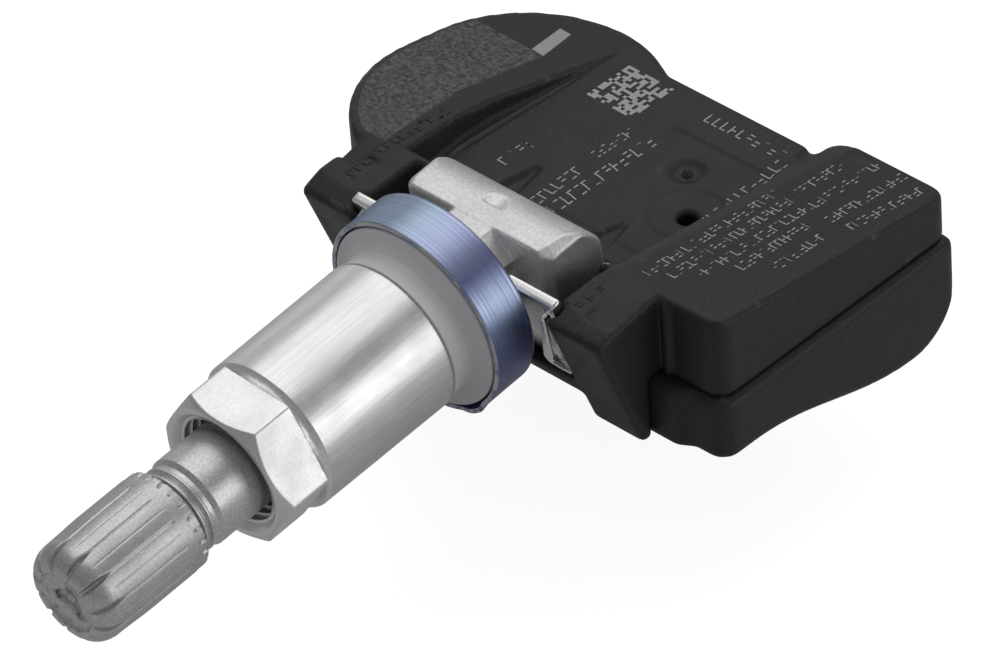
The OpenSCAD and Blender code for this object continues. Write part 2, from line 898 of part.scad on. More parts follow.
module capacitors() {
    color([0.75, 0.65, 0.5])
        for (x = cap_columns)
            for (y = cap_rows)
                on_board([x, y])
                    translate([-0.5, -0.8, 0])
                        cube([1, 1.6, 0.8]);
}

// Arched strip that sends the signal
module antenna_loop() {
    high = 5;
    color([0.8, 0.6, 0.3])
        on_board(loop_at)
            difference() {
                translate([-0.25, 0, 0])
                    cube([0.5, 12, high]);
                translate([-1, 0.7, -1])
                    cube([2, 10.6, high + 0.4]);
            }
}

housing_cover();
housing_base();
retaining_plate();
valve_stem();
cup_washer();
grommet();
slip_ring();
collar_nut();
valve_cap();
cap_seal();
core_body();
core_gasket();
core_spring();
core_pin();
core_seal();
circuit_board();
coin_cell();
upper_tab();
lower_tab();
sensor_chip();
port_seal();
trigger_coil();
crystal();
capacitors();
antenna_loop();
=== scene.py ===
# %% [markdown]
# # Wheel pressure sensor with a clamp-in valve
# The packed CAD model is the fixed frame. Every look is built around it here.
# Lengths in this script are in millimetres times MM, so that they read like the drawing.

# %%
import json
import math
import random

import bmesh
import bpy
from mathutils import Matrix, Vector


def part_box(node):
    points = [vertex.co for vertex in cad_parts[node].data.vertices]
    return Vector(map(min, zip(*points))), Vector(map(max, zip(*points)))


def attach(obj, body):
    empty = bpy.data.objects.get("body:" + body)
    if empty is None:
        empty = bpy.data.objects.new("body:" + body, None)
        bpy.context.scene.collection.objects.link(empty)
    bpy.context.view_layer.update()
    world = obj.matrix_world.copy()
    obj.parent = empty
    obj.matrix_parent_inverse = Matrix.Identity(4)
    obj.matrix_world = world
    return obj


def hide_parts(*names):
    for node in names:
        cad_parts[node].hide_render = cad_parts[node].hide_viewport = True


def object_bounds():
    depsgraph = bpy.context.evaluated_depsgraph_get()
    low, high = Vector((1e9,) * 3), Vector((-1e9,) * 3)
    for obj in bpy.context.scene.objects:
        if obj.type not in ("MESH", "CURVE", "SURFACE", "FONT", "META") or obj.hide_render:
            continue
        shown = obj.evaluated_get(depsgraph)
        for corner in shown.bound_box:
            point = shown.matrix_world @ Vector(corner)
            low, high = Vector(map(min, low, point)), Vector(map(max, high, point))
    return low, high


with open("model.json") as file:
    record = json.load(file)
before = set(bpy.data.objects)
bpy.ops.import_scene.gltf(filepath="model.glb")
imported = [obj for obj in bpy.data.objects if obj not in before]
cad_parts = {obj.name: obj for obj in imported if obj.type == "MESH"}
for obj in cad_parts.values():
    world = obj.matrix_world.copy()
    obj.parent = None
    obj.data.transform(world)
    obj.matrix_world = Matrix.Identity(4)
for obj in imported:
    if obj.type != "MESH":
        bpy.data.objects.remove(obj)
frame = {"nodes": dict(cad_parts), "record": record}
nodes = frame["nodes"]
cad_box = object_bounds()
MM = 0.001
print("CAD nodes", len(nodes), "box", [[round(v / MM, 2) for v in p] for p in cad_box])

# %% [markdown]
# ## Frames
# The record's frame has its origin at the valve hole. The valve runs along `OUT`, 5.4 degrees under -Y.
# `UP` is square to it, and the tilt axis lies `SEAT` behind the origin.

# %%
TILT = math.radians(5.4)
SEAT = 10.2
OUT = Vector((0, -math.cos(TILT), -math.sin(TILT)))
UP = Vector((0, -math.sin(TILT), math.cos(TILT)))
PIVOT = -OUT * SEAT * MM


def valve_matrix():
    """Local x stays, local y is UP, and local z runs out along the valve from the tilt axis."""
    m = Matrix((Vector((1, 0, 0)), UP, OUT)).transposed()
    return Matrix.Translation(PIVOT) @ m.to_4x4()


def housing(x, y, z):
    """Point of the housing, from millimetres measured at the tilt axis."""
    return PIVOT + Vector((x, y, z)) * MM


print("tilt axis at", [round(v / MM, 3) for v in PIVOT])

# %% [markdown]
# ## Camera
# The camera stands where the photograph was taken: about 640 mm away, 39 degrees up, with a long lens.

# %%
RIGHT = Vector((0.7253, 0.6858, -0.0600))
DOWN = Vector((0.3994, -0.4902, -0.7747))
AWAY = Vector((-0.5607, 0.5379, -0.6295))
CAMERA_PLACE = Vector((361.467, -336.775, 397.789)) * MM
LENS, SENSOR = 270, 36

camera_data = bpy.data.cameras.new("camera")
camera_data.lens = LENS
camera_data.sensor_width = SENSOR
camera_data.clip_start = 0.05
camera_data.clip_end = 20
camera = bpy.data.objects.new("camera", camera_data)
bpy.context.scene.collection.objects.link(camera)
aim = Matrix((RIGHT, -DOWN, -AWAY)).transposed().to_4x4()
camera.matrix_world = Matrix.Translation(CAMERA_PLACE) @ aim
bpy.context.scene.camera = camera
print("camera", [round(v, 4) for v in camera.location])

# %% [markdown]
# ## Floor, backdrop light and lamps
# The floor is white to the camera, with a faint shadow, and pale grey where the metal mirrors it.
# It lies `TILT_ROOM` under the housing, so that the valve clears it when it tilts.
# Large soft panels give the long streaks on the turned metal.

# %%
scene = bpy.context.scene
scene.view_settings.view_transform = "Standard"
TILT_ROOM = 9.5 * MM
STAGE_HALF = 3.0
STAGE_GREY = 0.4
GLOW_TO_CAMERA, GLOW_TO_METAL = 0.9, 0.18
WORLD_LIGHT = 0.24
MIDDLE = (0, 8, 0)
# Name, direction from the middle, distance and size in metres, and power in watts
LAMPS = [("top_panel", (-0.24, 0.40, 0.88), 0.55, (0.6, 0.55), 1.0),
         ("side_panel", (0.88, 0.42, 0.20), 0.6, (0.28, 0.4), 0.54),
         ("left_panel", (-0.80, 0.50, 0.05), 0.6, (0.25, 0.35), 0.14)]


def node_material(name):
    """New material with an empty node tree, and its output node."""
    m = bpy.data.materials.new(name)
    m.use_nodes = True
    m.node_tree.nodes.clear()
    out = m.node_tree.nodes.new("ShaderNodeOutputMaterial")
    return m, m.node_tree, out


def make_floor():
    """Floor of the picture, which isn't part of the object."""
    bm = bmesh.new()
    bmesh.ops.create_grid(bm, x_segments=1, y_segments=1, size=STAGE_HALF)
    me = bpy.data.meshes.new("floor")
    bm.to_mesh(me)
    bm.free()
    ob = bpy.data.objects.new("floor", me)
    ob.location = (0, 0, min(p[2] for p in cad_box) - TILT_ROOM)
    scene.collection.objects.link(ob)
    mat, tree, out = node_material("floor_white")
    path = tree.nodes.new("ShaderNodeLightPath")
    matt = tree.nodes.new("ShaderNodeBsdfDiffuse")
    matt.inputs["Color"].default_value = (STAGE_GREY, STAGE_GREY, STAGE_GREY, 1)
    glow = tree.nodes.new("ShaderNodeEmission")
    glow.inputs["Color"].default_value = (1, 1, 1, 1)
    lift = tree.nodes.new("ShaderNodeMath")
    lift.operation = "MULTIPLY"
    tree.links.new(path.outputs["Is Camera Ray"], lift.inputs[0])
    lift.inputs[1].default_value = GLOW_TO_CAMERA
    sheen = tree.nodes.new("ShaderNodeMath")
    sheen.operation = "MULTIPLY_ADD"
    tree.links.new(path.outputs["Is Glossy Ray"], sheen.inputs[0])
    sheen.inputs[1].default_value = GLOW_TO_METAL
    tree.links.new(lift.outputs[0], sheen.inputs[2])
    tree.links.new(sheen.outputs[0], glow.inputs["Strength"])
    both = tree.nodes.new("ShaderNodeAddShader")
    tree.links.new(matt.outputs[0], both.inputs[0])
    tree.links.new(glow.outputs[0], both.inputs[1])
    tree.links.new(both.outputs[0], out.inputs["Surface"])
    me.materials.append(mat)


def panel(name, direction, distance, size, power):
    """Area lamp that looks at the object's middle from a direction."""
    data = bpy.data.lights.new(name, "AREA")
    data.shape = "RECTANGLE"
    data.size, data.size_y = size
    data.energy = power
    ob = bpy.data.objects.new(name, data)
    d = Vector(direction).normalized()
    ob.location = Vector(MIDDLE) * MM + d * distance
    ob.rotation_euler = (-d).to_track_quat("-Z", "Y").to_euler()
    scene.collection.objects.link(ob)


make_floor()
world = bpy.data.worlds.new("studio")
scene.world = world
world.use_nodes = True
back = world.node_tree.nodes["Background"]
back.inputs["Color"].default_value = (1, 1, 1, 1)
back.inputs["Strength"].default_value = WORLD_LIGHT
for lamp in LAMPS:
    panel(*lamp)

# %% [markdown]
# ## Short way to write node materials
# `Wiring` links nodes and does maths with them, for materials and for Geometry Nodes.
# `Look` lays out one material. Its coordinates are object coordinates turned into millimetres,
# so that a grain of 0.2 is 0.2 mm wide on every piece.

# %%
class Wiring:
    def put(self, socket, value):
        """Links an output to a socket, or sets the socket to a constant."""
        if isinstance(value, bpy.types.NodeSocket):
            self.tree.links.new(value, socket)
        else:
            socket.default_value = value

    def math(self, operation, a, b=0.0, c=0.0):
        n = self.tree.nodes.new("ShaderNodeMath")
        n.operation = operation
        for socket, value in zip(n.inputs, (a, b, c)):
            self.put(socket, value)
        return n.outputs[0]

    def vector(self, operation, a, b=None, c=None, scale=None):
        n = self.tree.nodes.new("ShaderNodeVectorMath")
        n.operation = operation
        for socket, value in zip(n.inputs, (a, b, c, scale)):
            if value is not None:
                self.put(socket, value)
        return n.outputs["Value" if operation in ("DOT_PRODUCT", "LENGTH", "DISTANCE") else "Vector"]


class Look(Wiring):
    def __init__(self, name):
        self.mat, self.tree, out = node_material(name)
        self.bsdf = self.new("ShaderNodeBsdfPrincipled")
        self.tree.links.new(self.bsdf.outputs[0], out.inputs["Surface"])
        coord = self.new("ShaderNodeTexCoord")
        self.mm = self.vector("SCALE", coord.outputs["Object"], scale=1 / MM)
        self.normal = None

    def new(self, kind, **values):
        n = self.tree.nodes.new(kind)
        for key, value in values.items():
            setattr(n, key, value)
        return n

    def noise(self, size, detail, roughness, stretch=(1, 1, 1), at=None):
        """Noise whose features are about `size` millimetres wide."""
        n = self.new("ShaderNodeTexNoise")
        where = self.vector("MULTIPLY", at if at is not None else self.mm, stretch)
        self.put(n.inputs["Vector"], where)
        self.put(n.inputs["Scale"], 1.0 / size)
        self.put(n.inputs["Detail"], detail)
        self.put(n.inputs["Roughness"], roughness)
        return n.outputs["Fac"]

    def ramp(self, value, low, high, out_low=0.0, out_high=1.0):
        n = self.new("ShaderNodeMapRange", interpolation_type="SMOOTHSTEP")
        for socket, number in zip(n.inputs, (value, low, high, out_low, out_high)):
            self.put(socket, number)
        return n.outputs["Result"]

    def mix(self, factor, a, b):
        """Mix of two colours."""
        n = self.new("ShaderNodeMix", data_type="RGBA")
        self.put(n.inputs[0], factor)
        for socket, value in ((n.inputs[6], a), (n.inputs[7], b)):
            self.put(socket, value if isinstance(value, bpy.types.NodeSocket) else (*value, 1.0))
        return n.outputs[2]

    def bump(self, height, distance, strength):
        """Adds a bump of some millimetres on top of the bumps before it."""
        n = self.new("ShaderNodeBump")
        self.put(n.inputs["Height"], height)
        self.put(n.inputs["Distance"], distance * MM)
        self.put(n.inputs["Strength"], strength)
        if self.normal is not None:
            self.tree.links.new(self.normal, n.inputs["Normal"])
        self.normal = n.outputs["Normal"]
        self.put(self.bsdf.inputs["Normal"], self.normal)

    def set(self, **values):
        """Sets inputs of the surface by name."""
        for key, value in values.items():
            socket = self.bsdf.inputs[key.replace("_", " ")]
            if isinstance(value, tuple):
                value = (*value, 1.0)
            self.put(socket, value)

    def from_pivot(self):
        """Coordinates in millimetres from the tilt axis."""
        return self.vector("SUBTRACT", self.mm, tuple(PIVOT / MM))

    def split(self, v):
        n = self.new("ShaderNodeSeparateXYZ")
        self.put(n.inputs[0], v)
        return n.outputs

    def along_valve(self):
        """Distance along the valve from the tilt axis, in millimetres."""
        return self.vector("DOT_PRODUCT", self.from_pivot(), tuple(OUT))

    def ring_noise(self, size, detail, roughness):
        """Noise along the valve only, which draws lines round it."""
        line = self.new("ShaderNodeCombineXYZ")
        self.put(line.inputs[0], self.along_valve())
        return self.noise(size, detail, roughness, at=line.outputs[0])

    def round_tangent(self):
        """Brush marks that run round the valve."""
        n = self.new("ShaderNodeTangent", direction_type="RADIAL", axis="Y")
        self.put(self.bsdf.inputs["Tangent"], n.outputs[0])


print("Look has", len([k for k in vars(Look) if not k.startswith("_")]), "helpers")

# %% [markdown]
# ## Finishes
# Black moulded plastic has a fine spark texture. The rough patch on the drum and the bright mark beside it
# are masked by their corners, measured in millimetres from the tilt axis.
# The metals are blasted, turned or tempered, and the tempered washer's colour also holds painted highlights and
# shade. `rubber` also serves for smooth plastics.

# %%
PATCH_RING = [((-10.6, 14.3), 13.85), ((-12.9, 18.3), 11.4)]
PATCH_FRONT = [(-30.0, 2.5), (-15.3, 2.5), (-16.4, 13.1), (-30.0, 14.0)]
PATCH_BACK = [(-30.0, 12.0), (-16.4, 13.1), (-15.2, 22.3), (-30.0, 22.6)]
BRIGHT_MARK = [(-16.7, 22.45), (-15.2, 22.3), (-15.95, 26.65), (-17.3, 26.7)]
# Heights between which the patch and the mark fade in on the drum's top
DRUM_TOP = (-1.5, -1.2)
# Where the washer's bare cut edge fades in, along the valve and from its axis
CUT_EDGE, CUT_EDGE_R = (9.93, 10.0), (9.05, 9.12)
DEGREES = 57.3


def inside(look, x, y, corners, soft=0.12):
    """Mask that is one inside a convex outline."""
    middle = [sum(c[i] for c in corners) / len(corners) for i in (0, 1)]
    mask = None
    for a, b in zip(corners, corners[1:] + corners[:1]):
        nx, ny = a[1] - b[1], b[0] - a[0]
        size = math.hypot(nx, ny)
        nx, ny = nx / size, ny / size
        if (middle[0] - a[0]) * nx + (middle[1] - a[1]) * ny < 0:
            nx, ny = -nx, -ny
        side = look.math("MULTIPLY_ADD", x, nx, -(a[0] * nx + a[1] * ny))
        side = look.math("MULTIPLY_ADD", y, ny, side)
        edge = look.ramp(side, -soft, soft)
        mask = edge if mask is None else look.math("MULTIPLY", mask, edge)
    return mask


def ring_mask(look, x, y, rings, soft=0.1):
    """Mask that is one inside any of the circles."""
    mask = None
    for (cx, cy), r in rings:
        dx, dy = look.math("SUBTRACT", x, cx), look.math("SUBTRACT", y, cy)
        reach = look.math("SQRT", look.math("MULTIPLY_ADD", dx, dx, look.math("MULTIPLY", dy, dy)))
        disc = look.ramp(reach, r + soft, r - soft)
        mask = disc if mask is None else look.math("MAXIMUM", mask, disc)
    return mask


def black_plastic(name):
    """Moulded plastic with paler outer edges, partly wear and partly painted highlight, and with the drum's patch
    and mark.
    """
    look = Look(name)
    grain = look.noise(0.24, 3.0, 0.7)
    cloud = look.noise(3.5, 4.0, 0.6)
    fleck = look.ramp(look.noise(0.2, 2.0, 0.6), 0.60, 0.74)
    colour = look.mix(cloud, (0.023, 0.023, 0.0245), (0.035, 0.035, 0.037))
    colour = look.mix(look.ramp(grain, 0.38, 0.62, 0.0, 0.55), colour, (0.048, 0.048, 0.051))
    colour = look.mix(look.math("MULTIPLY", fleck, 0.6), colour, (0.10, 0.10, 0.105))
    # Outer edges are painted a little paler in patches: partly wear, partly a painted highlight along the rounded
    # edges
    edge = look.ramp(look.new("ShaderNodeNewGeometry").outputs["Pointiness"], 0.52, 0.58, 0.0, 0.6)
    colour = look.mix(look.math("MULTIPLY", edge, look.ramp(cloud, 0.35, 0.6)), colour, (0.10, 0.10, 0.10))
    rough = look.ramp(cloud, 0.3, 0.7, 0.40, 0.50)
    x, y, z = look.split(look.from_pivot())
    top = look.ramp(z, *DRUM_TOP)
    area = look.math("MAXIMUM", inside(look, x, y, PATCH_FRONT), inside(look, x, y, PATCH_BACK))
    patch = look.math("MULTIPLY", look.math("MULTIPLY", area, ring_mask(look, x, y, PATCH_RING)), top)
    mark = look.math("MULTIPLY", inside(look, x, y, BRIGHT_MARK, 0.06), top)
    grit = look.noise(0.42, 4.0, 0.75)
    tone = look.mix(look.ramp(grit, 0.35, 0.65), (0.038, 0.038, 0.040), (0.17, 0.17, 0.175))
    colour = look.mix(patch, colour, tone)
    colour = look.mix(mark, colour, look.mix(grain, (0.30, 0.30, 0.30), (0.62, 0.62, 0.62)))
    look.bump(look.math("MULTIPLY", grit, patch), 0.12, 1.0)
    look.bump(grain, 0.03, 0.8)
    look.set(Base_Color=colour, Roughness=rough)
    look.put(look.bsdf.inputs["Specular IOR Level"], 0.28)
    return look.mat


def metal(name, colour, dark, rough, brushed=0.0, grain=0.2, grain_depth=0.004, streak=0.0, speckle=0.0,
          drawn=0.0):
    """Bare metal with fine grain. streak is the depth of rings round the valve, drawn of lines along it."""
    look = Look(name)
    fine = look.noise(grain, 2.0, 0.6)
    cloud = look.noise(4.0, 3.0, 0.6)
    tint = look.mix(cloud, dark, colour)
    if speckle:
        tint = look.mix(look.ramp(fine, 0.38, 0.62, speckle, 0.0), tint, tuple(0.45 * v for v in dark))
    r = look.ramp(cloud, 0.3, 0.7, rough - 0.04, rough + 0.04)
    if streak:
        rings = look.ring_noise(0.12, 3.0, 0.7)
        look.bump(rings, streak, 0.6)
        r = look.math("MULTIPLY_ADD", rings, 0.12, look.math("SUBTRACT", r, 0.06))
    if drawn:
        # Faint lines that run along the valve
        slide = look.math("MULTIPLY", look.along_valve(), 0.985)
        lines = look.noise(0.13, 3.0, 0.7, at=look.vector("SUBTRACT", look.from_pivot(), look.vector(
            "SCALE", tuple(OUT), scale=slide)))
        tint = look.mix(look.ramp(lines, 0.40, 0.60, 0.3, 0.0), tint, tuple(0.6 * v for v in dark))
        look.bump(lines, drawn, 0.6)
    look.bump(fine, grain_depth, 0.7)
    look.set(Base_Color=tint, Roughness=r, Metallic=1.0)
    if brushed:
        look.put(look.bsdf.inputs["Anisotropic"], brushed)
        look.round_tangent()
    return look.mat


def rubber(name, colour, rough=0.55):
    look = Look(name)
    cloud = look.noise(2.5, 3.0, 0.6)
    look.bump(look.noise(0.2, 2.0, 0.6), 0.003, 0.5)
    look.set(Base_Color=look.mix(cloud, tuple(0.92 * v for v in colour), colour),
             Roughness=look.ramp(cloud, 0.3, 0.7, rough - 0.05, rough + 0.05))
    return look.mat


def blue_steel():
    """Tempered sheet: blue that turns violet round the rim, with pale patches, painted highlights at the top and
    in a streak, painted shade towards the bottom, and fine lines round it.
    """
    look = Look("tempered_blue_painted_light")
    rings = look.ring_noise(0.2, 4.0, 0.8)
    s, p = look.along_valve(), look.from_pivot()
    band = look.noise(5.5, 2.0, 0.5, stretch=(1, 0.35, 1), at=p)
    patchy = look.noise(1.1, 4.0, 0.7, stretch=(1, 2.2, 1), at=p)
    x = look.split(p)[0]
    up = look.vector("DOT_PRODUCT", p, tuple(UP))
    # Turn about the valve in degrees, from the top towards +X
    turn = look.math("MULTIPLY", look.math("ARCTAN2", x, up), DEGREES)
    turn = look.math("ADD", turn, look.math("MULTIPLY", look.math("SUBTRACT", band, 0.5), 26.0))
    temper_and_painted_light = look.new("ShaderNodeValToRGB")
    look.put(temper_and_painted_light.inputs[0], look.math("DIVIDE", look.math("ADD", turn, 180.0), 360.0))
    # Colour by the turn: temper blue and violet, with a painted highlight at the top, a painted bright streak to
    # the side, and painted shade towards the bottom
    temper_and_painted_light_stops = [(0.0, (0.16, 0.20, 0.36)), (0.42, (0.27, 0.35, 0.50)), (0.50, (0.46, 0.57, 0.70)),
             (0.545, (0.48, 0.54, 0.76)), (0.61, (0.22, 0.23, 0.44)), (0.67, (0.46, 0.56, 0.74)),
             (0.73, (0.22, 0.27, 0.48)), (0.81, (0.24, 0.23, 0.44)), (1.0, (0.16, 0.20, 0.36))]
    ramp = temper_and_painted_light.color_ramp
    for k, (at, tone) in enumerate(temper_and_painted_light_stops):
        stop = ramp.elements[k] if k < 2 else ramp.elements.new(at)
        stop.position = at
        stop.color = (*tone, 1.0)
    pale = look.mix(look.ramp(patchy, 0.5, 0.8, 0.0, 0.35), temper_and_painted_light.outputs[0], (0.42, 0.50, 0.62))
    colour = look.mix(look.ramp(rings, 0.35, 0.65, 0.0, 0.5), pale, (0.09, 0.12, 0.25))
    # Bare cut edge at the open rim
    radial = look.vector("LENGTH", look.vector("SUBTRACT", p, look.vector("SCALE", tuple(OUT), scale=s)))
    rim = look.math("MULTIPLY", look.ramp(s, *CUT_EDGE), look.ramp(radial, *CUT_EDGE_R))
    colour = look.mix(look.math("MULTIPLY", rim, look.ramp(patchy, 0.35, 0.6)), colour, (0.55, 0.55, 0.55))
    look.bump(rings, 0.035, 0.8)
    look.bump(look.noise(0.14, 2.0, 0.6), 0.003, 0.5)
    look.set(Base_Color=colour, Roughness=look.ramp(rings, 0.3, 0.7, 0.26, 0.40), Metallic=1.0)
    look.put(look.bsdf.inputs["Anisotropic"], 0.5)
    look.round_tangent()
    return look.mat


FINISH = {
    "black_plastic": black_plastic("black_plastic"),
    "bright_steel": metal("bright_steel", (0.95, 0.95, 0.94), (0.80, 0.80, 0.79), 0.28, grain=0.3,
                          grain_depth=0.006),
    "cast_metal": metal("cast_metal", (0.93, 0.93, 0.92), (0.82, 0.82, 0.82), 0.52, grain=0.28,
                        grain_depth=0.012, speckle=0.25),
    "blue_steel": blue_steel(),
    "grey_rubber": rubber("grey_rubber", (0.88, 0.885, 0.905), 0.45),
    "nut_metal": metal("nut_metal", (0.86, 0.86, 0.86), (0.80, 0.80, 0.80), 0.34, brushed=0.35, streak=0.004,
                       drawn=0.006),
    "cap_plastic": metal("cap_plastic", (0.72, 0.72, 0.725), (0.60, 0.60, 0.605), 0.42, grain=0.22,
                         grain_depth=0.010, speckle=0.3),
    "ring_plastic": rubber("ring_plastic", (0.80, 0.78, 0.70), 0.35),
    "dark_rubber": rubber("dark_rubber", (0.02, 0.02, 0.02), 0.6),
    "brass": metal("brass", (0.72, 0.52, 0.22), (0.60, 0.42, 0.18), 0.3),
    "red_seal": rubber("red_seal", (0.45, 0.05, 0.03), 0.4),
    "spring_steel": metal("spring_steel", (0.70, 0.70, 0.72), (0.60, 0.60, 0.62), 0.25),
    "green_board": rubber("green_board", (0.02, 0.16, 0.06), 0.35),
    "nickel": metal("nickel", (0.75, 0.74, 0.70), (0.66, 0.65, 0.62), 0.3),
    "black_epoxy": rubber("black_epoxy", (0.02, 0.02, 0.02), 0.45),
    "copper_wire": metal("copper_wire", (0.62, 0.26, 0.12), (0.50, 0.20, 0.10), 0.35),
    "ceramic_tan": rubber("ceramic_tan", (0.42, 0.30, 0.18), 0.5),
}
SATIN = metal("satin_metal", (0.80, 0.80, 0.795), (0.70, 0.70, 0.70), 0.42, grain=0.22, grain_depth=0.012,
              speckle=0.35)
FROSTED = metal("frosted_metal", (0.93, 0.93, 0.93), (0.88, 0.88, 0.88), 0.40, grain=0.24, grain_depth=0.008,
                speckle=0.15)
slot_of = {row["node"]: row["material_slot"] for row in frame["record"]["subparts"]}
for name, ob in nodes.items():
    ob.data.materials.clear()
    ob.data.materials.append(FINISH[slot_of[name]])
print("finishes", len(FINISH), "on", len(nodes), "nodes")

# %% [markdown]
# ## Short way to write Geometry Nodes trees
# `Tree` lays out one tree with named inputs. `baked` turns the result into a plain mesh and drops the modifier.

# %%
SOCKETS = {float: "NodeSocketFloat", int: "NodeSocketInt", Vector: "NodeSocketVector",
           bpy.types.Material: "NodeSocketMaterial", bpy.types.Object: "NodeSocketObject"}


class Tree(Wiring):
    def __init__(self, name, **inputs):
        self.tree = bpy.data.node_groups.new(name, "GeometryNodeTree")
        face = self.tree.interface
        face.new_socket("Geometry", in_out="INPUT", socket_type="NodeSocketGeometry")
        for label, value in inputs.items():
            kind = SOCKETS[type(value)]
            face.new_socket(label, in_out="INPUT", socket_type=kind).default_value = value
        face.new_socket("Geometry", in_out="OUTPUT", socket_type="NodeSocketGeometry")
        self.inputs = self.new("NodeGroupInput").outputs
        self.out = self.new("NodeGroupOutput").inputs[0]

    def new(self, kind, **sockets):
        n = self.tree.nodes.new(kind)
        for label, value in sockets.items():
            self.put(n.inputs[label.replace("_", " ")], value)
        return n

    def position(self):
        return self.new("GeometryNodeInputPosition").outputs[0]

    def distance(self, target):
        """Signed distance to a closed mesh: below zero inside it."""
        skew = Vector((0.137, 0.211, 0.968))
        near = self.new("GeometryNodeProximity")
        self.put(near.inputs[0], target)
        ray = self.new("GeometryNodeRaycast", Target_Geometry=target, Ray_Direction=skew, Ray_Length=1.0)
        leaves = self.math("GREATER_THAN", self.vector("DOT_PRODUCT", ray.outputs["Hit Normal"], skew))
        inner = self.math("MULTIPLY", leaves, ray.outputs["Is Hit"])
        sign = self.math("MULTIPLY_ADD", inner, -2.0, 1.0)
        return self.math("MULTIPLY", near.outputs["Distance"], sign)

    def solid(self, depth, low, high, voxel):
        """Mesh round everything whose depth is above zero, inside a box."""
        cells = [math.ceil((high[i] - low[i]) / voxel) for i in range(3)]
        cube = self.new("GeometryNodeVolumeCube", Density=self.math("MULTIPLY", depth, 1 / MM),
                        Background=-100.0, Min=low, Max=high, Resolution_X=cells[0], Resolution_Y=cells[1],
                        Resolution_Z=cells[2])
        mesh = self.new("GeometryNodeVolumeToMesh", Volume=cube.outputs[0], Threshold=0.0, Adaptivity=0.0)
        return mesh.outputs[0]


def typed(sockets, kind, name=None):
    """First socket of a type, and of a name where one is given."""
    return next(s for s in sockets if s.type == kind and name in (None, s.name))


def link(name, mesh):
    ob = bpy.data.objects.new(name, mesh)
    scene.collection.objects.link(ob)
    return ob


def bridged(bm, pairs):
    """Faces between neighbouring rings of vertices."""
    for one, two in pairs:
        for i in range(len(one)):
            k = (i + 1) % len(one)
            bm.faces.new((one[i], one[k], two[k], two[i]))


def built(name, bm):
    """Object of a finished mesh."""
    mesh = bpy.data.meshes.new(name)
    bm.to_mesh(mesh)
    bm.free()
    return link(name, mesh)


def baked(ob):
    """Turns the object's modifiers into plain mesh."""
    graph = bpy.context.evaluated_depsgraph_get()
    mesh = bpy.data.meshes.new_from_object(ob.evaluated_get(graph))
    ob.modifiers.clear()
    ob.data = mesh
    return ob


def grown(name, tree, mesh=None, **inputs):
    """Object made by a tree, as plain mesh."""
    ob = link(name, mesh or bpy.data.meshes.new(name))
    m = ob.modifiers.new("tree", "NODES")
    m.node_group = tree.tree
    for item in tree.tree.interface.items_tree:
        if item.in_out == "INPUT" and item.name in inputs:
            m[item.identifier] = inputs[item.name]
    return baked(ob)


def triangles(ob):
    return sum(len(p.vertices) - 2 for p in ob.data.polygons)


def finish(ob, body, slot, *replaced, look=None):
    """Gives a piece its finish and its body, and puts it in the place of CAD nodes."""
    ob.data.materials.clear()
    ob.data.materials.append(look or FINISH[slot])
    ob.data.shade_smooth()
    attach(ob, body)
    if replaced:
        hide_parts(*replaced)
    print(ob.name, "has", triangles(ob), "triangles")
    return ob


print("kinds of tree input", len(SOCKETS))

# %% [markdown]
# ## Rounded shells
# Moulded plastic has no sharp edges. Each shell is shrunk by a small radius and grown again as a distance field,
# which rounds every outer edge by that radius and leaves flat faces where they were.
# Plain fillers keep the thin floor whole meanwhile, and the room under it is cut out again at the end.

# %%
WALL = 1.3
SEAM = -5.3
TOP_FALL = math.tan(math.radians(7.1))
# Two circles that make the drum's outline, with centre and radius, and the pressure port in the floor
DRUM = [((-10.6, 14.3), 14.75), ((-12.9, 18.3), 12.15)]
PORT = (8.8, 14.7, 0.9)
FAR_BELOW = 1.6
WELD = 0.002
PAD_CELLS = 3


def hull(points):
    """Convex outline round points in the plane, counter-clockwise."""
    def half(ordered):
        chain = []
        for p in ordered:
            while len(chain) > 1 and ((chain[-1][0] - chain[-2][0]) * (p[1] - chain[-2][1])
                                      <= (chain[-1][1] - chain[-2][1]) * (p[0] - chain[-2][0])):
                chain.pop()
            chain.append(p)
        return chain[:-1]
    ordered = sorted(points)
    return half(ordered) + half(ordered[::-1])


def clipped(outline, nx, ny, reach):
    """Part of a convex outline where nx * x + ny * y is below reach."""
    kept = []
    for a, b in zip(outline, outline[1:] + outline[:1]):
        da, db = (p[0] * nx + p[1] * ny - reach for p in (a, b))
        if da <= 0:
            kept.append(a)
        if da * db < 0:
            t = da / (da - db)
            kept.append((a[0] + t * (b[0] - a[0]), a[1] + t * (b[1] - a[1])))
    return kept


def prism(name, outline, low, high, fall=0.0):
    """Closed prism over an outline in housing millimetres, with a top that falls towards the back."""
    bm = bmesh.new()
    foot = [bm.verts.new(housing(x, y, low)) for x, y in outline]
    head = [bm.verts.new(housing(x, y, high - y * fall)) for x, y in outline]
    bm.faces.new(foot[::-1])
    bm.faces.new(head)
    bridged(bm, [(foot, head)])
    return built(name, bm)


def rectangle(x0, y0, x1, y1):
    """Corners of a rectangle, counter-clockwise."""
    return [(x0, y0), (x1, y0), (x1, y1), (x0, y1)]


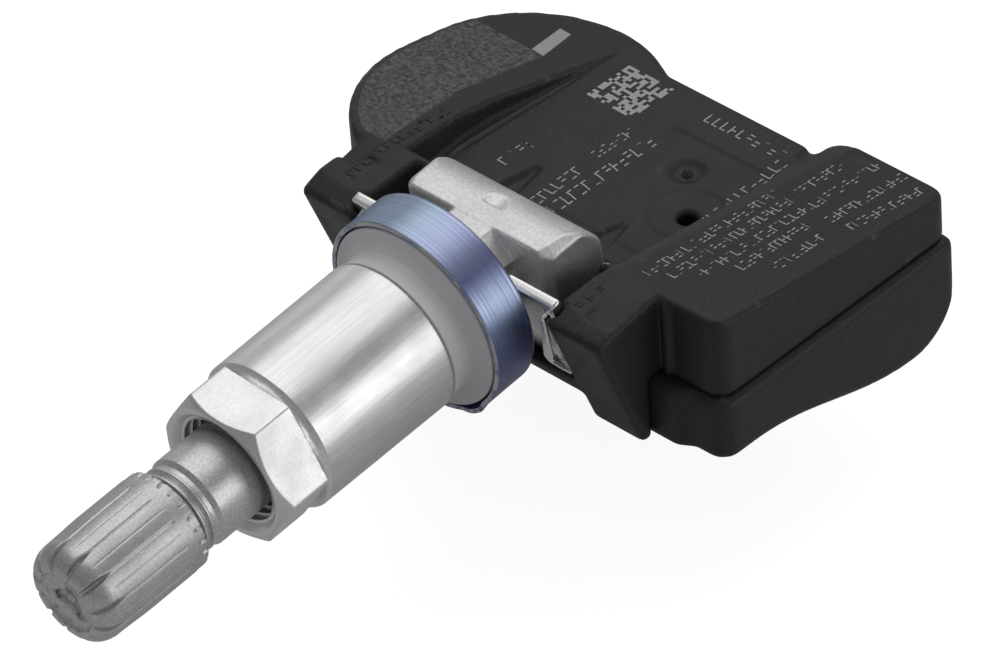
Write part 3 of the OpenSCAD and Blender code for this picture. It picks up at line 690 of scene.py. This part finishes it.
def opened(name, node, radius, voxel, fillers=(), front=None, keep=0.35, bore=None):
    """Copy of a CAD node whose outer edges are rounded by shrinking and growing it.

    front cuts it off there, keep is the share of faces that stays, and bore is a round hole to keep open.
    """
    tree = Tree("rounding", Radius=radius * MM)
    mesh = nodes[node].data.copy()
    bm = bmesh.new()
    bm.from_mesh(mesh)
    bmesh.ops.remove_doubles(bm, verts=bm.verts, dist=WELD * MM)
    bm.to_mesh(mesh)
    bm.free()
    low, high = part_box(node)
    pad = Vector((PAD_CELLS, PAD_CELLS, PAD_CELLS)) * voxel * MM
    low, high = low - pad, high + pad
    if front is not None:
        low.y = front * MM
    rooms = []
    for ob in fillers:
        info = tree.new("GeometryNodeObjectInfo", Object=ob)
        rooms.append(tree.distance(info.outputs["Geometry"]))
    body = tree.distance(tree.inputs["Geometry"])
    if rooms:
        place = tree.new("ShaderNodeSeparateXYZ", Vector=tree.position())
        under_seam = tree.math("SUBTRACT", SEAM * MM + PIVOT.z, place.outputs["Z"])
    for room in rooms:
        body = tree.math("MINIMUM", body, tree.math("MAXIMUM", room, under_seam))
    shrunk = tree.solid(tree.math("MULTIPLY", tree.math("ADD", body, tree.inputs["Radius"]), -1.0),
                        low, high, voxel * MM)
    depth = tree.math("SUBTRACT", tree.inputs["Radius"], tree.distance(shrunk))
    for room in rooms:
        depth = tree.math("MINIMUM", depth, tree.math("ADD", room, WALL / 2 * MM))
    if bore is not None:
        x, y, r = bore
        flat = Vector((1, 1, 0))
        here = tree.vector("MULTIPLY", tree.position(), flat)
        reach = tree.vector("DISTANCE", here, housing(x, y, 0) * flat)
        depth = tree.math("MINIMUM", depth, tree.math("SUBTRACT", reach, r * MM))
    grown_mesh = tree.solid(depth, low, high, voxel * MM)
    blur = tree.new("GeometryNodeBlurAttribute", Iterations=2)
    blur.data_type = "FLOAT_VECTOR"
    tree.put(typed(blur.inputs, "VECTOR"), tree.position())
    place = tree.new("GeometryNodeSetPosition", Geometry=grown_mesh, Position=typed(blur.outputs, "VECTOR"))
    tree.put(tree.out, place.outputs[0])
    ob = link(name, mesh)
    ob.modifiers.new("round", "NODES").node_group = tree.tree
    thin = ob.modifiers.new("thin", "DECIMATE")
    thin.ratio = keep
    baked(ob)
    for helper in fillers:
        bpy.data.objects.remove(helper)
    return ob


drum_ring = hull([(c[0] + (r - WALL / 2) * math.cos(a), c[1] + (r - WALL / 2) * math.sin(a))
                  for c, r in DRUM for a in (math.tau * i / 48 for i in range(48))])
under = SEAM - FAR_BELOW
# Each filler starts a little lower than the one before, so that no two feet share a plane
fillers = [
    prism("fill_drum_low", clipped(drum_ring, 0, -1, -6.2), under, -1.15),
    prism("fill_drum_top", clipped(clipped(drum_ring, 0, -1, -2.6), 1, 0, -14.35), under - 0.1, 2.6, TOP_FALL),
    prism("fill_floor", rectangle(-14, 6.3, 13, 27.65), under - 0.2, -1.2),
    prism("fill_block", rectangle(12.65, 4, 22, 30.35), under - 0.3, 2.6, TOP_FALL),
    prism("fill_block_side", rectangle(20, 5, 23.65, 30), under - 0.4, 2.62, TOP_FALL),
]
fine = 0.2
cover = opened("cover_shell", "housing_cover", 0.4, fine, fillers, bore=PORT)
finish(cover, "housing", "black_plastic", "housing_cover")
base = opened("base_shell", "housing_base", 0.5, fine * 1.1)
finish(base, "housing", "black_plastic", "housing_base")

# %% [markdown]
# ## Turned pieces
# `turned` spins a closed profile of radius and distance along the valve. `eased` rounds the corners of a profile
# and keeps a point on both sides of each arc, so that flat faces stay flat under smooth shading.
# A radius may be a function of the angle, which gives the hexagon and the flutes of the cap.

# %%
ARC_STEPS = 4
SIDE_SHARE = 0.33
LEAST_REACH = 0.005
NEARLY_STRAIGHT = 3.0
BESIDE_ARC = 1.15


def eased(profile, radius):
    """Profile with every corner rounded, no further than a third of its shorter side."""
    out = []
    for i, p in enumerate(profile):
        a, b = Vector(profile[i - 1]), Vector(profile[(i + 1) % len(profile)])
        p = Vector(p)
        to_a, to_b = a - p, b - p
        turn = to_a.angle(to_b)
        reach = min(radius / math.tan(turn / 2), to_a.length * SIDE_SHARE, to_b.length * SIDE_SHARE)
        if reach < LEAST_REACH or turn > NEARLY_STRAIGHT:
            out.append(tuple(p))
            continue
        start, end = p + to_a.normalized() * reach, p + to_b.normalized() * reach
        out.append(tuple(p + to_a.normalized() * reach * BESIDE_ARC))
        for k in range(ARC_STEPS + 1):
            t = k / ARC_STEPS
            out.append(tuple(start * (1 - t) ** 2 + p * 2 * t * (1 - t) + end * t ** 2))
        out.append(tuple(p + to_b.normalized() * reach * BESIDE_ARC))
    return out


def turned(name, profile, sides=192, shape=None):
    """Closed ring body round the valve; shape(radius, s, angle) may change the radius."""
    bm = bmesh.new()
    rings = []
    for r, s in profile:
        ring = []
        for i in range(sides):
            a = math.tau * i / sides
            q = shape(r, s, a) if shape else r
            ring.append(bm.verts.new(Vector((q * math.sin(a), q * math.cos(a), s)) * MM))
        rings.append(ring)
    bridged(bm, zip(rings, rings[1:] + rings[:1]))
    bmesh.ops.recalc_face_normals(bm, faces=bm.faces)
    ob = built(name, bm)
    ob.data.transform(valve_matrix())
    return ob


def smooth_step(x, low, high):
    """Zero below low, one above high, and a soft change between them."""
    t = min(max((x - low) / (high - low), 0.0), 1.0)
    return t * t * (3 - 2 * t)


def smooth_min(a, b, k):
    """Lower of two lengths, with a rounded change between them."""
    h = max(k - abs(a - b), 0.0) / k
    return min(a, b) - h * h * k / 4


def stations(profile, gap):
    """Adds points along the long sides of a profile."""
    out = []
    for a, b in zip(profile, profile[1:] + profile[:1]):
        n = max(1, round(math.dist(a, b) / gap))
        out += [(a[0] + (b[0] - a[0]) * k / n, a[1] + (b[1] - a[1]) * k / n) for k in range(n)]
    return out


print("helpers for turned pieces are ready")

# %% [markdown]
# ### Stem, washer and grommet
# The crossbar keeps the cast shape of the CAD with soft edges. The stem is turned anew with the rings at its neck.

# %%
crossbar = opened("crossbar_cast", "valve_stem", 0.12, 0.11, front=3.2, keep=0.4)
finish(crossbar, "valve", "cast_metal")

# Profiles are pairs of radius and distance from the tilt axis, in millimetres
STEM = [(1.2, 5.2), (7.4, 5.2), (7.4, 5.42), (5.25, 5.45), (5.25, 16.4), (5.02, 16.7), (5.02, 28.6), (4.85, 29),
        (4.3, 29), (4.3, 37.45), (3.98, 37.85), (3.98, 38.3), (4.12, 38.42), (4.12, 38.62),
        (3.72, 38.78), (3.72, 38.98), (4.0, 39.12), (4.0, 39.34), (3.78, 39.5), (3.78, 48.8), (3.45, 49.2),
        (2.5, 49.2), (2.5, 45.2), (1.85, 44.5), (1.85, 33.5), (1.2, 33.5)]
stem = turned("stem_turned", eased(STEM, 0.12))
finish(stem, "valve", "cast_metal", "valve_stem", look=SATIN)

WASHER_BACK, WASHER_FRONT, WASHER_R = 5.45, 10.05, 9.64
CUP_WAVE, CUP_WAVES = 0.012, 5
TONGUE_OUT = 0.35
CUP = [(5.3, WASHER_BACK), (WASHER_R, WASHER_BACK), (WASHER_R, WASHER_FRONT), (9.14, WASHER_FRONT), (9.14, 5.95),
       (5.3, 5.95)]
TONGUE = math.radians(144)


def cup_shape(r, s, a):
    """Faint waves of the pressed sheet, and the small tongue that the blanking left at the lower rim."""
    if r < 9:
        return r
    off = abs((a - TONGUE + math.pi) % math.tau - math.pi) * WASHER_R
    tongue = TONGUE_OUT * (1 - smooth_step(off, 0.5, 2.2)) * smooth_step(s, 8.8, WASHER_FRONT)
    return r + CUP_WAVE * math.sin(CUP_WAVES * a + 0.9 * s) + tongue


cup = turned("cup_sheet", stations(eased(CUP, 0.3), 0.5), sides=256, shape=cup_shape)
finish(cup, "valve", "blue_steel", "cup_washer")

GROMMET = [(5.3, 5.97), (8.1, 5.97), (9.0, 6.95), (9.0, 10.2), (8.2, 10.2), (7.7, 10.4), (7.25, 10.9),
           (7.1, 11.6), (7.25, 12.4), (7.42, 12.86), (5.75, 12.88), (5.75, 15.48), (5.3, 15.5)]
seal = turned("grommet_seal", eased(GROMMET, 0.35), sides=160)
finish(seal, "valve", "grey_rubber", "grommet")

# %% [markdown]
# ### Collar nut
# The hexagon is cut by a cone at its front, and its back edge is straight and slightly ragged from the cutter.
# Its flats and its shoulder are frosted, and the cone and the collar are bright.

# %%
NUT_BACK, NUT_FRONT, HEX_BACK, FLATS, COLLAR = 12.9, 33.4, 28.4, 6.5, 7.4
HEX_TURN = math.radians(33.7)
HEX_LEAST = 6.4
FROST_BACK = 27.82
CONE_SLOPE = 1.25


def hexagon(a):
    """Radius of the hexagon at an angle, with its corners eased."""
    a = (a - HEX_TURN) % (math.tau / 6)
    one = FLATS / max(math.cos(a - math.tau / 12), 0.5)
    return smooth_min(one, FLATS / math.cos(math.tau / 12) - 0.03, 0.1)


def cone(s):
    """Radius of the cone that cuts the front of the hexagon."""
    return FLATS - 0.1 + (NUT_FRONT - s) * CONE_SLOPE


def nut_shape(r, s, a):
    """Makes the hexagon from its back edge on."""
    if r < HEX_LEAST or s < HEX_BACK - 0.005:
        return r
    edge = 0.03 * math.sin(41 * a) * math.sin(13 * a + 1) if s < HEX_BACK + 0.1 else 0.0
    return smooth_min(hexagon(a), cone(s), 0.16) + edge


NUT = ([(6.3, NUT_BACK), (7.12, NUT_BACK), (7.3, NUT_BACK + 0.05), (7.38, NUT_BACK + 0.14)]
       + [(COLLAR - 0.1 * (s - 13.2) / 14.3, s) for s in (13.2, 13.5, 18, 23, 26.5, 27.6)]
       + [(7.3, 27.72), (7.26, 27.8), (6.45, HEX_BACK - 0.02), (FLATS, HEX_BACK), (FLATS, HEX_BACK + 0.04)]
       + [(FLATS, HEX_BACK + 0.15 + 0.15 * k) for k in range(33)]
       + [(6.22, NUT_FRONT), (6.12, NUT_FRONT), (5.9, NUT_FRONT - 0.12), (5.45, NUT_FRONT - 0.72),
          (5.36, NUT_FRONT - 0.9), (5.34, 28.0), (5.34, 17.1), (6.28, 17.05), (6.3, 16.9)])
nut = turned("nut_turned", NUT, sides=360, shape=nut_shape)
finish(nut, "nut", "nut_metal", "collar_nut")
nut.data.materials.append(FROSTED)
for face in nut.data.polygons:
    middle = face.center - PIVOT
    s = middle.dot(OUT) / MM
    radius = (middle - OUT * middle.dot(OUT)).length / MM
    face.material_index = int(s > FROST_BACK and HEX_LEAST < radius < cone(s) - 0.12)


def thread_tree():
    """Row of sharp rings along the valve, which read as a thread."""
    tree = Tree("thread", Count=4, Pitch=1.0, Radius=5.0, Depth=0.3, Start=0.0, Sides=96,
                Finish=FINISH["nut_metal"])
    flank = tree.new("GeometryNodeCurvePrimitiveCircle", Resolution=3, Radius=tree.inputs["Depth"])
    path = tree.new("GeometryNodeCurvePrimitiveCircle", Resolution=tree.inputs["Sides"],
                    Radius=tree.inputs["Radius"])
    ring = tree.new("GeometryNodeCurveToMesh", Curve=path.outputs[0], Profile_Curve=flank.outputs[0])
    step = tree.new("ShaderNodeCombineXYZ", Z=tree.inputs["Pitch"])
    start = tree.new("ShaderNodeCombineXYZ", Z=tree.inputs["Start"])
    line = tree.new("GeometryNodeMeshLine", Count=tree.inputs["Count"], Start_Location=start.outputs[0],
                    Offset=step.outputs[0])
    rows = tree.new("GeometryNodeInstanceOnPoints", Points=line.outputs[0], Instance=ring.outputs[0])
    real = tree.new("GeometryNodeRealizeInstances", Geometry=rows.outputs[0])
    done = tree.new("GeometryNodeSetMaterial", Geometry=real.outputs[0], Material=tree.inputs["Finish"])
    tree.put(tree.out, done.outputs[0])
    return tree


def thread(name, body, slot, look, count, pitch, radius, depth, start):
    """Rings round the valve, from start millimetres off the tilt axis on."""
    ob = grown(name, thread_tree(), Count=count, Pitch=pitch * MM, Radius=radius * MM, Depth=depth * MM,
               Start=start * MM, Finish=look)
    ob.data.transform(valve_matrix())
    finish(ob, body, slot, look=look)


thread("nut_thread", "nut", "nut_metal", FINISH["nut_metal"], count=4, pitch=1.0, radius=5.38, depth=0.4,
       start=29.5)
thread("stem_thread", "valve", "cast_metal", SATIN, count=11, pitch=1.0, radius=5.02, depth=0.22, start=17.4)
thread("cap_thread", "valve", "cast_metal", SATIN, count=11, pitch=0.794, radius=3.72, depth=0.12, start=40.2)

# %% [markdown]
# ### Cap
# Twelve flat ribs stand between grooves that run out under the rim and are deepest at the shoulder.
# The end face has a hollow with a pit of three lobes and a gate mark, and the rim is notched.

# %%
CAP_BACK, RIBS, NOTCHES, LOBES = 39.9, 12, 24, 3
GROOVE, SHOULDER_GROOVE, SEAM_LINE, NOTCH, RIM_STEP = 0.09, 0.48, 0.04, 0.2, 0.05


def cap_shape(r, s, a):
    """Cuts grooves, seams, notches and the pit into the cap's profile."""
    if 0.9 < r < 1.4 and s > 50.6:
        return r * (1 + 0.3 * math.cos(LOBES * a - 1.2))
    if r < 2.9 or (r < 4.3 and s < 50.3):
        return r
    rib = math.tau / RIBS
    off = abs((a / rib) % 1.0 - 0.5) * rib * r
    deep = GROOVE * smooth_step(s, 41.8, 42.4) + SHOULDER_GROOVE * smooth_step(s, 49.1, 50.5)
    deep *= smooth_step(r, 2.9, 3.4)
    width = 0.09 + 0.17 * smooth_step(s, 49.0, 50.8)
    groove = deep * (1 - smooth_step(off, width * 0.4, width * 1.3))
    seam = (SEAM_LINE * (1 - smooth_step(rib * r / 2 - off, 0.02, 0.08)) * smooth_step(s, 41.8, 42.2)
            * (1 - smooth_step(s, 49.5, 50.2)))
    notch_at = ((a * NOTCHES / math.tau) % 1.0 - 0.5) * math.tau / NOTCHES * r
    notch = NOTCH * (1 - smooth_step(abs(notch_at), 0.12, 0.17)) * (1 - smooth_step(s, 40.5, 40.75))
    flat = RIM_STEP * (1 - smooth_step(s, 40.75, 41.1))
    return r - groove - seam - (notch if r > 4.4 and s < 41 else 0.0) - (flat if r > 4.5 else 0.0)


CAP_SIDE = [(4.84 - 0.12 * smooth_step(s, 46, 50), s) for s in (40.0 + 0.15 * k for k in range(67))]
CAP_SHOULDER = [(3.15 + 1.57 * math.sin(t), 50.0 + 1.97 * math.cos(t))
                for t in (math.pi / 2 * (1 - k / 16) for k in range(17))]
CAP_END = [(3.02, 51.93), (2.9, 51.8), (2.82, 51.62), (2.6, 51.52), (1.5, 51.5), (1.3, 51.42), (1.2, 51.0),
           (1.05, 50.72), (0.62, 50.7), (0.5, 50.8), (0.46, 51.2), (0.38, 51.28), (0.2, 51.28), (0.14, 51.1),
           (0.001, 51.08)]
CAP_INSIDE = [(0.001, 50.12), (3.85, 50.1), (3.93, 50.0), (3.93, 40.4), (4.13, 39.93), (4.5, CAP_BACK),
              (4.72, 39.93)]
cap = turned("cap_fluted", CAP_SIDE + CAP_SHOULDER[1:] + CAP_END + CAP_INSIDE, sides=480, shape=cap_shape)
finish(cap, "cap", "cap_plastic", "valve_cap")

# %% [markdown]
# ## Small forms of the cover
# A low ridge follows the foot of the drum's cliff, and a torn gate stub stands in the dish.

# %%
def swept(name, path, radii, sides=14):
    """Tube of changing radius along a path in housing millimetres."""
    bm = bmesh.new()
    rings = []
    for i, (point, radius) in enumerate(zip(path, radii)):
        ahead = Vector(path[min(i + 1, len(path) - 1)]) - Vector(path[max(i - 1, 0)])
        side = ahead.cross(Vector((0, 0, 1))).normalized()
        top = side.cross(ahead).normalized()
        rings.append([bm.verts.new(housing(*(Vector(point) + (side * math.cos(a) + top * math.sin(a)) * radius)))
                      for a in (math.tau * k / sides for k in range(sides))])
    bridged(bm, zip(rings, rings[1:]))
    bm.faces.new(rings[0][::-1])
    bm.faces.new(rings[-1])
    bmesh.ops.recalc_face_normals(bm, faces=bm.faces)
    return built(name, bm)


# Height of the cover's sunken floor over the tilt axis
FLOOR = -0.5
RIDGE_R = [0.34, 0.36, 0.34, 0.3, 0.22, 0.08]
STUB_R = [0.62, 0.5, 0.42, 0.2]
RAGGED = 0.09
RIDGE = [(-12.65, 6.4), (-12.6, 9), (-12.35, 13), (-12.0, 17.6), (-11.6, 22.2), (-11.2, 26.6)]
ridge_path = [(x, y, FLOOR - 0.02 - 0.2 * (i == 0)) for i, (x, y) in enumerate(RIDGE)]
finish(swept("floor_ridge", ridge_path, RIDGE_R), "housing", "black_plastic")

random.seed(4)
stub = swept("gate_stub", [(4.6, 19.3, -1.35), (4.62, 19.28, -1.1), (4.66, 19.3, -0.9), (4.7, 19.25, -0.75)],
             STUB_R, sides=12)
for vertex in stub.data.vertices:
    vertex.co += Vector((random.uniform(-1, 1), random.uniform(-1, 1), random.uniform(-1, 1))) * RAGGED * MM
finish(stub, "housing", "black_plastic")

# %% [markdown]
# ## Retaining plate
# Punched sheet with eased edges. Its bowed leaves come with it.

# %%
plate = opened("plate_sheet", "retaining_plate", 0.08, 0.12, keep=0.5)
finish(plate, "housing", "bright_steel", "retaining_plate")

# %% [markdown]
# ## Laser marks
# The real housing carries laser text and a square code. Here plain strokes and a seeded field of squares stand in
# their places. A ray from above lays each of them on the cover.

# %%
RAY_START, RAY_LENGTH = 12 * MM, 0.05


def laser_look():
    """Pale grey of plastic that a laser has marked."""
    look = Look("laser_mark")
    grain = look.noise(0.12, 2.0, 0.7)
    tone = look.mix(look.ramp(grain, 0.35, 0.65), (0.36, 0.36, 0.36), (0.66, 0.66, 0.66))
    look.set(Base_Color=tone, Roughness=0.8)
    return look.mat


LASER = laser_look()


def laid(tree, geometry):
    """Ends a tree: lays the geometry on the target mesh and gives it its finish."""
    info = tree.new("GeometryNodeObjectInfo", Object=tree.inputs["Target"])
    start = tree.vector("ADD", tree.position(), Vector((0, 0, RAY_START)))
    ray = tree.new("GeometryNodeRaycast", Target_Geometry=info.outputs["Geometry"], Source_Position=start,
                   Ray_Direction=Vector((0, 0, -1)), Ray_Length=RAY_LENGTH)
    lift = tree.inputs["Lift"]
    amount = tree.new("ShaderNodeCombineXYZ", X=lift, Y=lift, Z=lift)
    up = tree.vector("MULTIPLY_ADD", ray.outputs["Hit Normal"], amount.outputs[0], ray.outputs["Hit Position"])
    on = tree.new("GeometryNodeSetPosition", Geometry=geometry, Position=up)
    done = tree.new("GeometryNodeSetMaterial", Geometry=on.outputs[0], Material=tree.inputs["Finish"])
    tree.put(tree.out, done.outputs[0])
    return tree


def stroke_tree():
    """Rows of short strokes, across and along the row, picked by a seed."""
    tree = Tree("strokes", Pitch=0.9 * MM, Height=1.1 * MM, Line=0.13 * MM, Seed=3, Lift=0.012 * MM,
                Target=cover, Finish=LASER)
    path = tree.new("GeometryNodeMeshToCurve", Mesh=tree.inputs["Geometry"])
    spaced = tree.new("GeometryNodeResampleCurve", Curve=path.outputs[0])
    spaced.mode = "LENGTH"
    tree.put(spaced.inputs["Length"], tree.inputs["Pitch"])
    along = tree.new("FunctionNodeAlignRotationToVector",
                     Vector=tree.new("GeometryNodeInputTangent").outputs[0])
    along.axis = "Y"
    along.pivot_axis = "Z"
    across = tree.new("GeometryNodeMeshGrid", Size_X=tree.inputs["Height"], Size_Y=tree.inputs["Line"],
                      Vertices_X=9, Vertices_Y=2)
    dash_size = tree.math("MULTIPLY", tree.inputs["Pitch"], 0.62)
    dash = tree.new("GeometryNodeMeshGrid", Size_X=tree.inputs["Line"], Size_Y=dash_size, Vertices_X=2,
                    Vertices_Y=5)
    shapes = tree.new("GeometryNodeJoinGeometry")
    tree.put(shapes.inputs[0], tree.new("GeometryNodeGeometryToInstance", Geometry=across.outputs[0]).outputs[0])
    for side in (-0.44, 0.0, 0.44):
        shift = tree.new("ShaderNodeCombineXYZ", X=tree.math("MULTIPLY", tree.inputs["Height"], side),
                         Y=tree.math("MULTIPLY", dash_size, 0.5))
        moved = tree.new("GeometryNodeTransform", Geometry=dash.outputs[0], Translation=shift.outputs[0])
        single = tree.new("GeometryNodeGeometryToInstance", Geometry=moved.outputs[0])
        tree.put(shapes.inputs[0], single.outputs[0])
    layers = tree.new("GeometryNodeJoinGeometry")
    for layer in range(2):
        seed = tree.math("ADD", tree.inputs["Seed"], float(layer))
        pick = tree.new("FunctionNodeRandomValue")
        pick.data_type = "INT"
        tree.put(typed(pick.inputs, "INT", "Min"), 0)
        tree.put(typed(pick.inputs, "INT", "Max"), 3)
        tree.put(pick.inputs["Seed"], seed)
        rows = tree.new("GeometryNodeInstanceOnPoints", Points=spaced.outputs[0], Instance=shapes.outputs[0],
                        Pick_Instance=True, Instance_Index=typed(pick.outputs, "INT"), Rotation=along.outputs[0])
        tree.put(layers.inputs[0], rows.outputs[0])
    real = tree.new("GeometryNodeRealizeInstances", Geometry=layers.outputs[0])
    return laid(tree, real.outputs[0])


def rows_mesh(name, rows):
    """Edges from start to end of each row, in housing millimetres."""
    mesh = bpy.data.meshes.new(name)
    ends = [housing(x, y, 0) for row in rows for x, y in row]
    mesh.from_pydata(ends, [(2 * i, 2 * i + 1) for i in range(len(rows))], [])
    return mesh


def strokes(name, rows, look, **inputs):
    """Rows of strokes that lie on the cover."""
    ob = grown(name, stroke_tree(), rows_mesh(name, rows), **inputs)
    finish(ob, "housing", "black_plastic", look=look)


# Each row is given by its two ends, X and Y in millimetres from the tilt axis
WIDE_ROWS = [((-8.5, 9.8), (-8.4, 13.1)), ((-2.5, 7.6), (-2.6, 12.8)), ((-0.7, 7.6), (-0.5, 19.8)),
             ((10.3, 2.8), (10.5, 24.6)), ((1.2, 25.7), (9.4, 25.8))]
FINE_ROWS = [((-2.9, 15.6), (-2.7, 20.0)), ((14.6, 3.4), (13.9, 20.3)), ((16.3, 4.6), (15.5, 20.3)),
             ((17.9, 6.4), (17.3, 20.6)), ((19.5, 9.6), (19.1, 18.4)), ((21.6, 11.6), (21.2, 17.8)),
             ((15.2, 21.8), (14.9, 27.4)), ((17.4, 21.2), (17.1, 29.6)), ((19.9, 20.4), (19.8, 29.9)),
             ((21.9, 20.9), (22.3, 29.3))]
MOULDED_ROWS = [((-14.5, -2.6), (-14.9, 9.4)), ((13.1, -3.4), (13.1, -0.8))]
CODE_PLACE, CODE_TURN = (-6.6, 24.2, 0), math.radians(-1)
strokes("marks_wide", WIDE_ROWS, LASER, Pitch=0.86 * MM, Height=1.15 * MM, Line=0.14 * MM, Seed=3)
strokes("marks_fine", FINE_ROWS, LASER, Pitch=0.62 * MM, Height=0.98 * MM, Line=0.13 * MM, Seed=11)
strokes("marks_moulded", MOULDED_ROWS, FINISH["black_plastic"],
        Pitch=0.9 * MM, Height=0.9 * MM, Line=0.2 * MM, Seed=8, Lift=0.07 * MM)


def code_tree():
    """Square field of cells, some left out by a seed."""
    tree = Tree("code", Cells=16, Cell=0.34 * MM, Fill=0.56, Seed=7, Lift=0.012 * MM, Target=cover, Finish=LASER)
    side = tree.math("MULTIPLY", tree.math("SUBTRACT", tree.inputs["Cells"], 1.0), tree.inputs["Cell"])
    field = tree.new("GeometryNodeMeshGrid", Size_X=side, Size_Y=side, Vertices_X=tree.inputs["Cells"],
                     Vertices_Y=tree.inputs["Cells"])
    chance = tree.new("FunctionNodeRandomValue")
    chance.data_type = "BOOLEAN"
    tree.put(chance.inputs["Probability"], tree.inputs["Fill"])
    tree.put(chance.inputs["Seed"], tree.inputs["Seed"])
    cell = tree.new("GeometryNodeMeshGrid", Size_X=tree.inputs["Cell"], Size_Y=tree.inputs["Cell"], Vertices_X=2,
                    Vertices_Y=2)
    cells = tree.new("GeometryNodeInstanceOnPoints", Points=field.outputs[0], Instance=cell.outputs[0],
                     Selection=typed(chance.outputs, "BOOLEAN"))
    real = tree.new("GeometryNodeRealizeInstances", Geometry=cells.outputs[0])
    place = tree.new("GeometryNodeTransform", Geometry=real.outputs[0],
                     Translation=housing(*CODE_PLACE), Rotation=Vector((0, 0, CODE_TURN)))
    return laid(tree, place.outputs[0])


finish(grown("marks_code", code_tree()), "housing", "black_plastic", look=LASER)

# %% [markdown]
# ## End
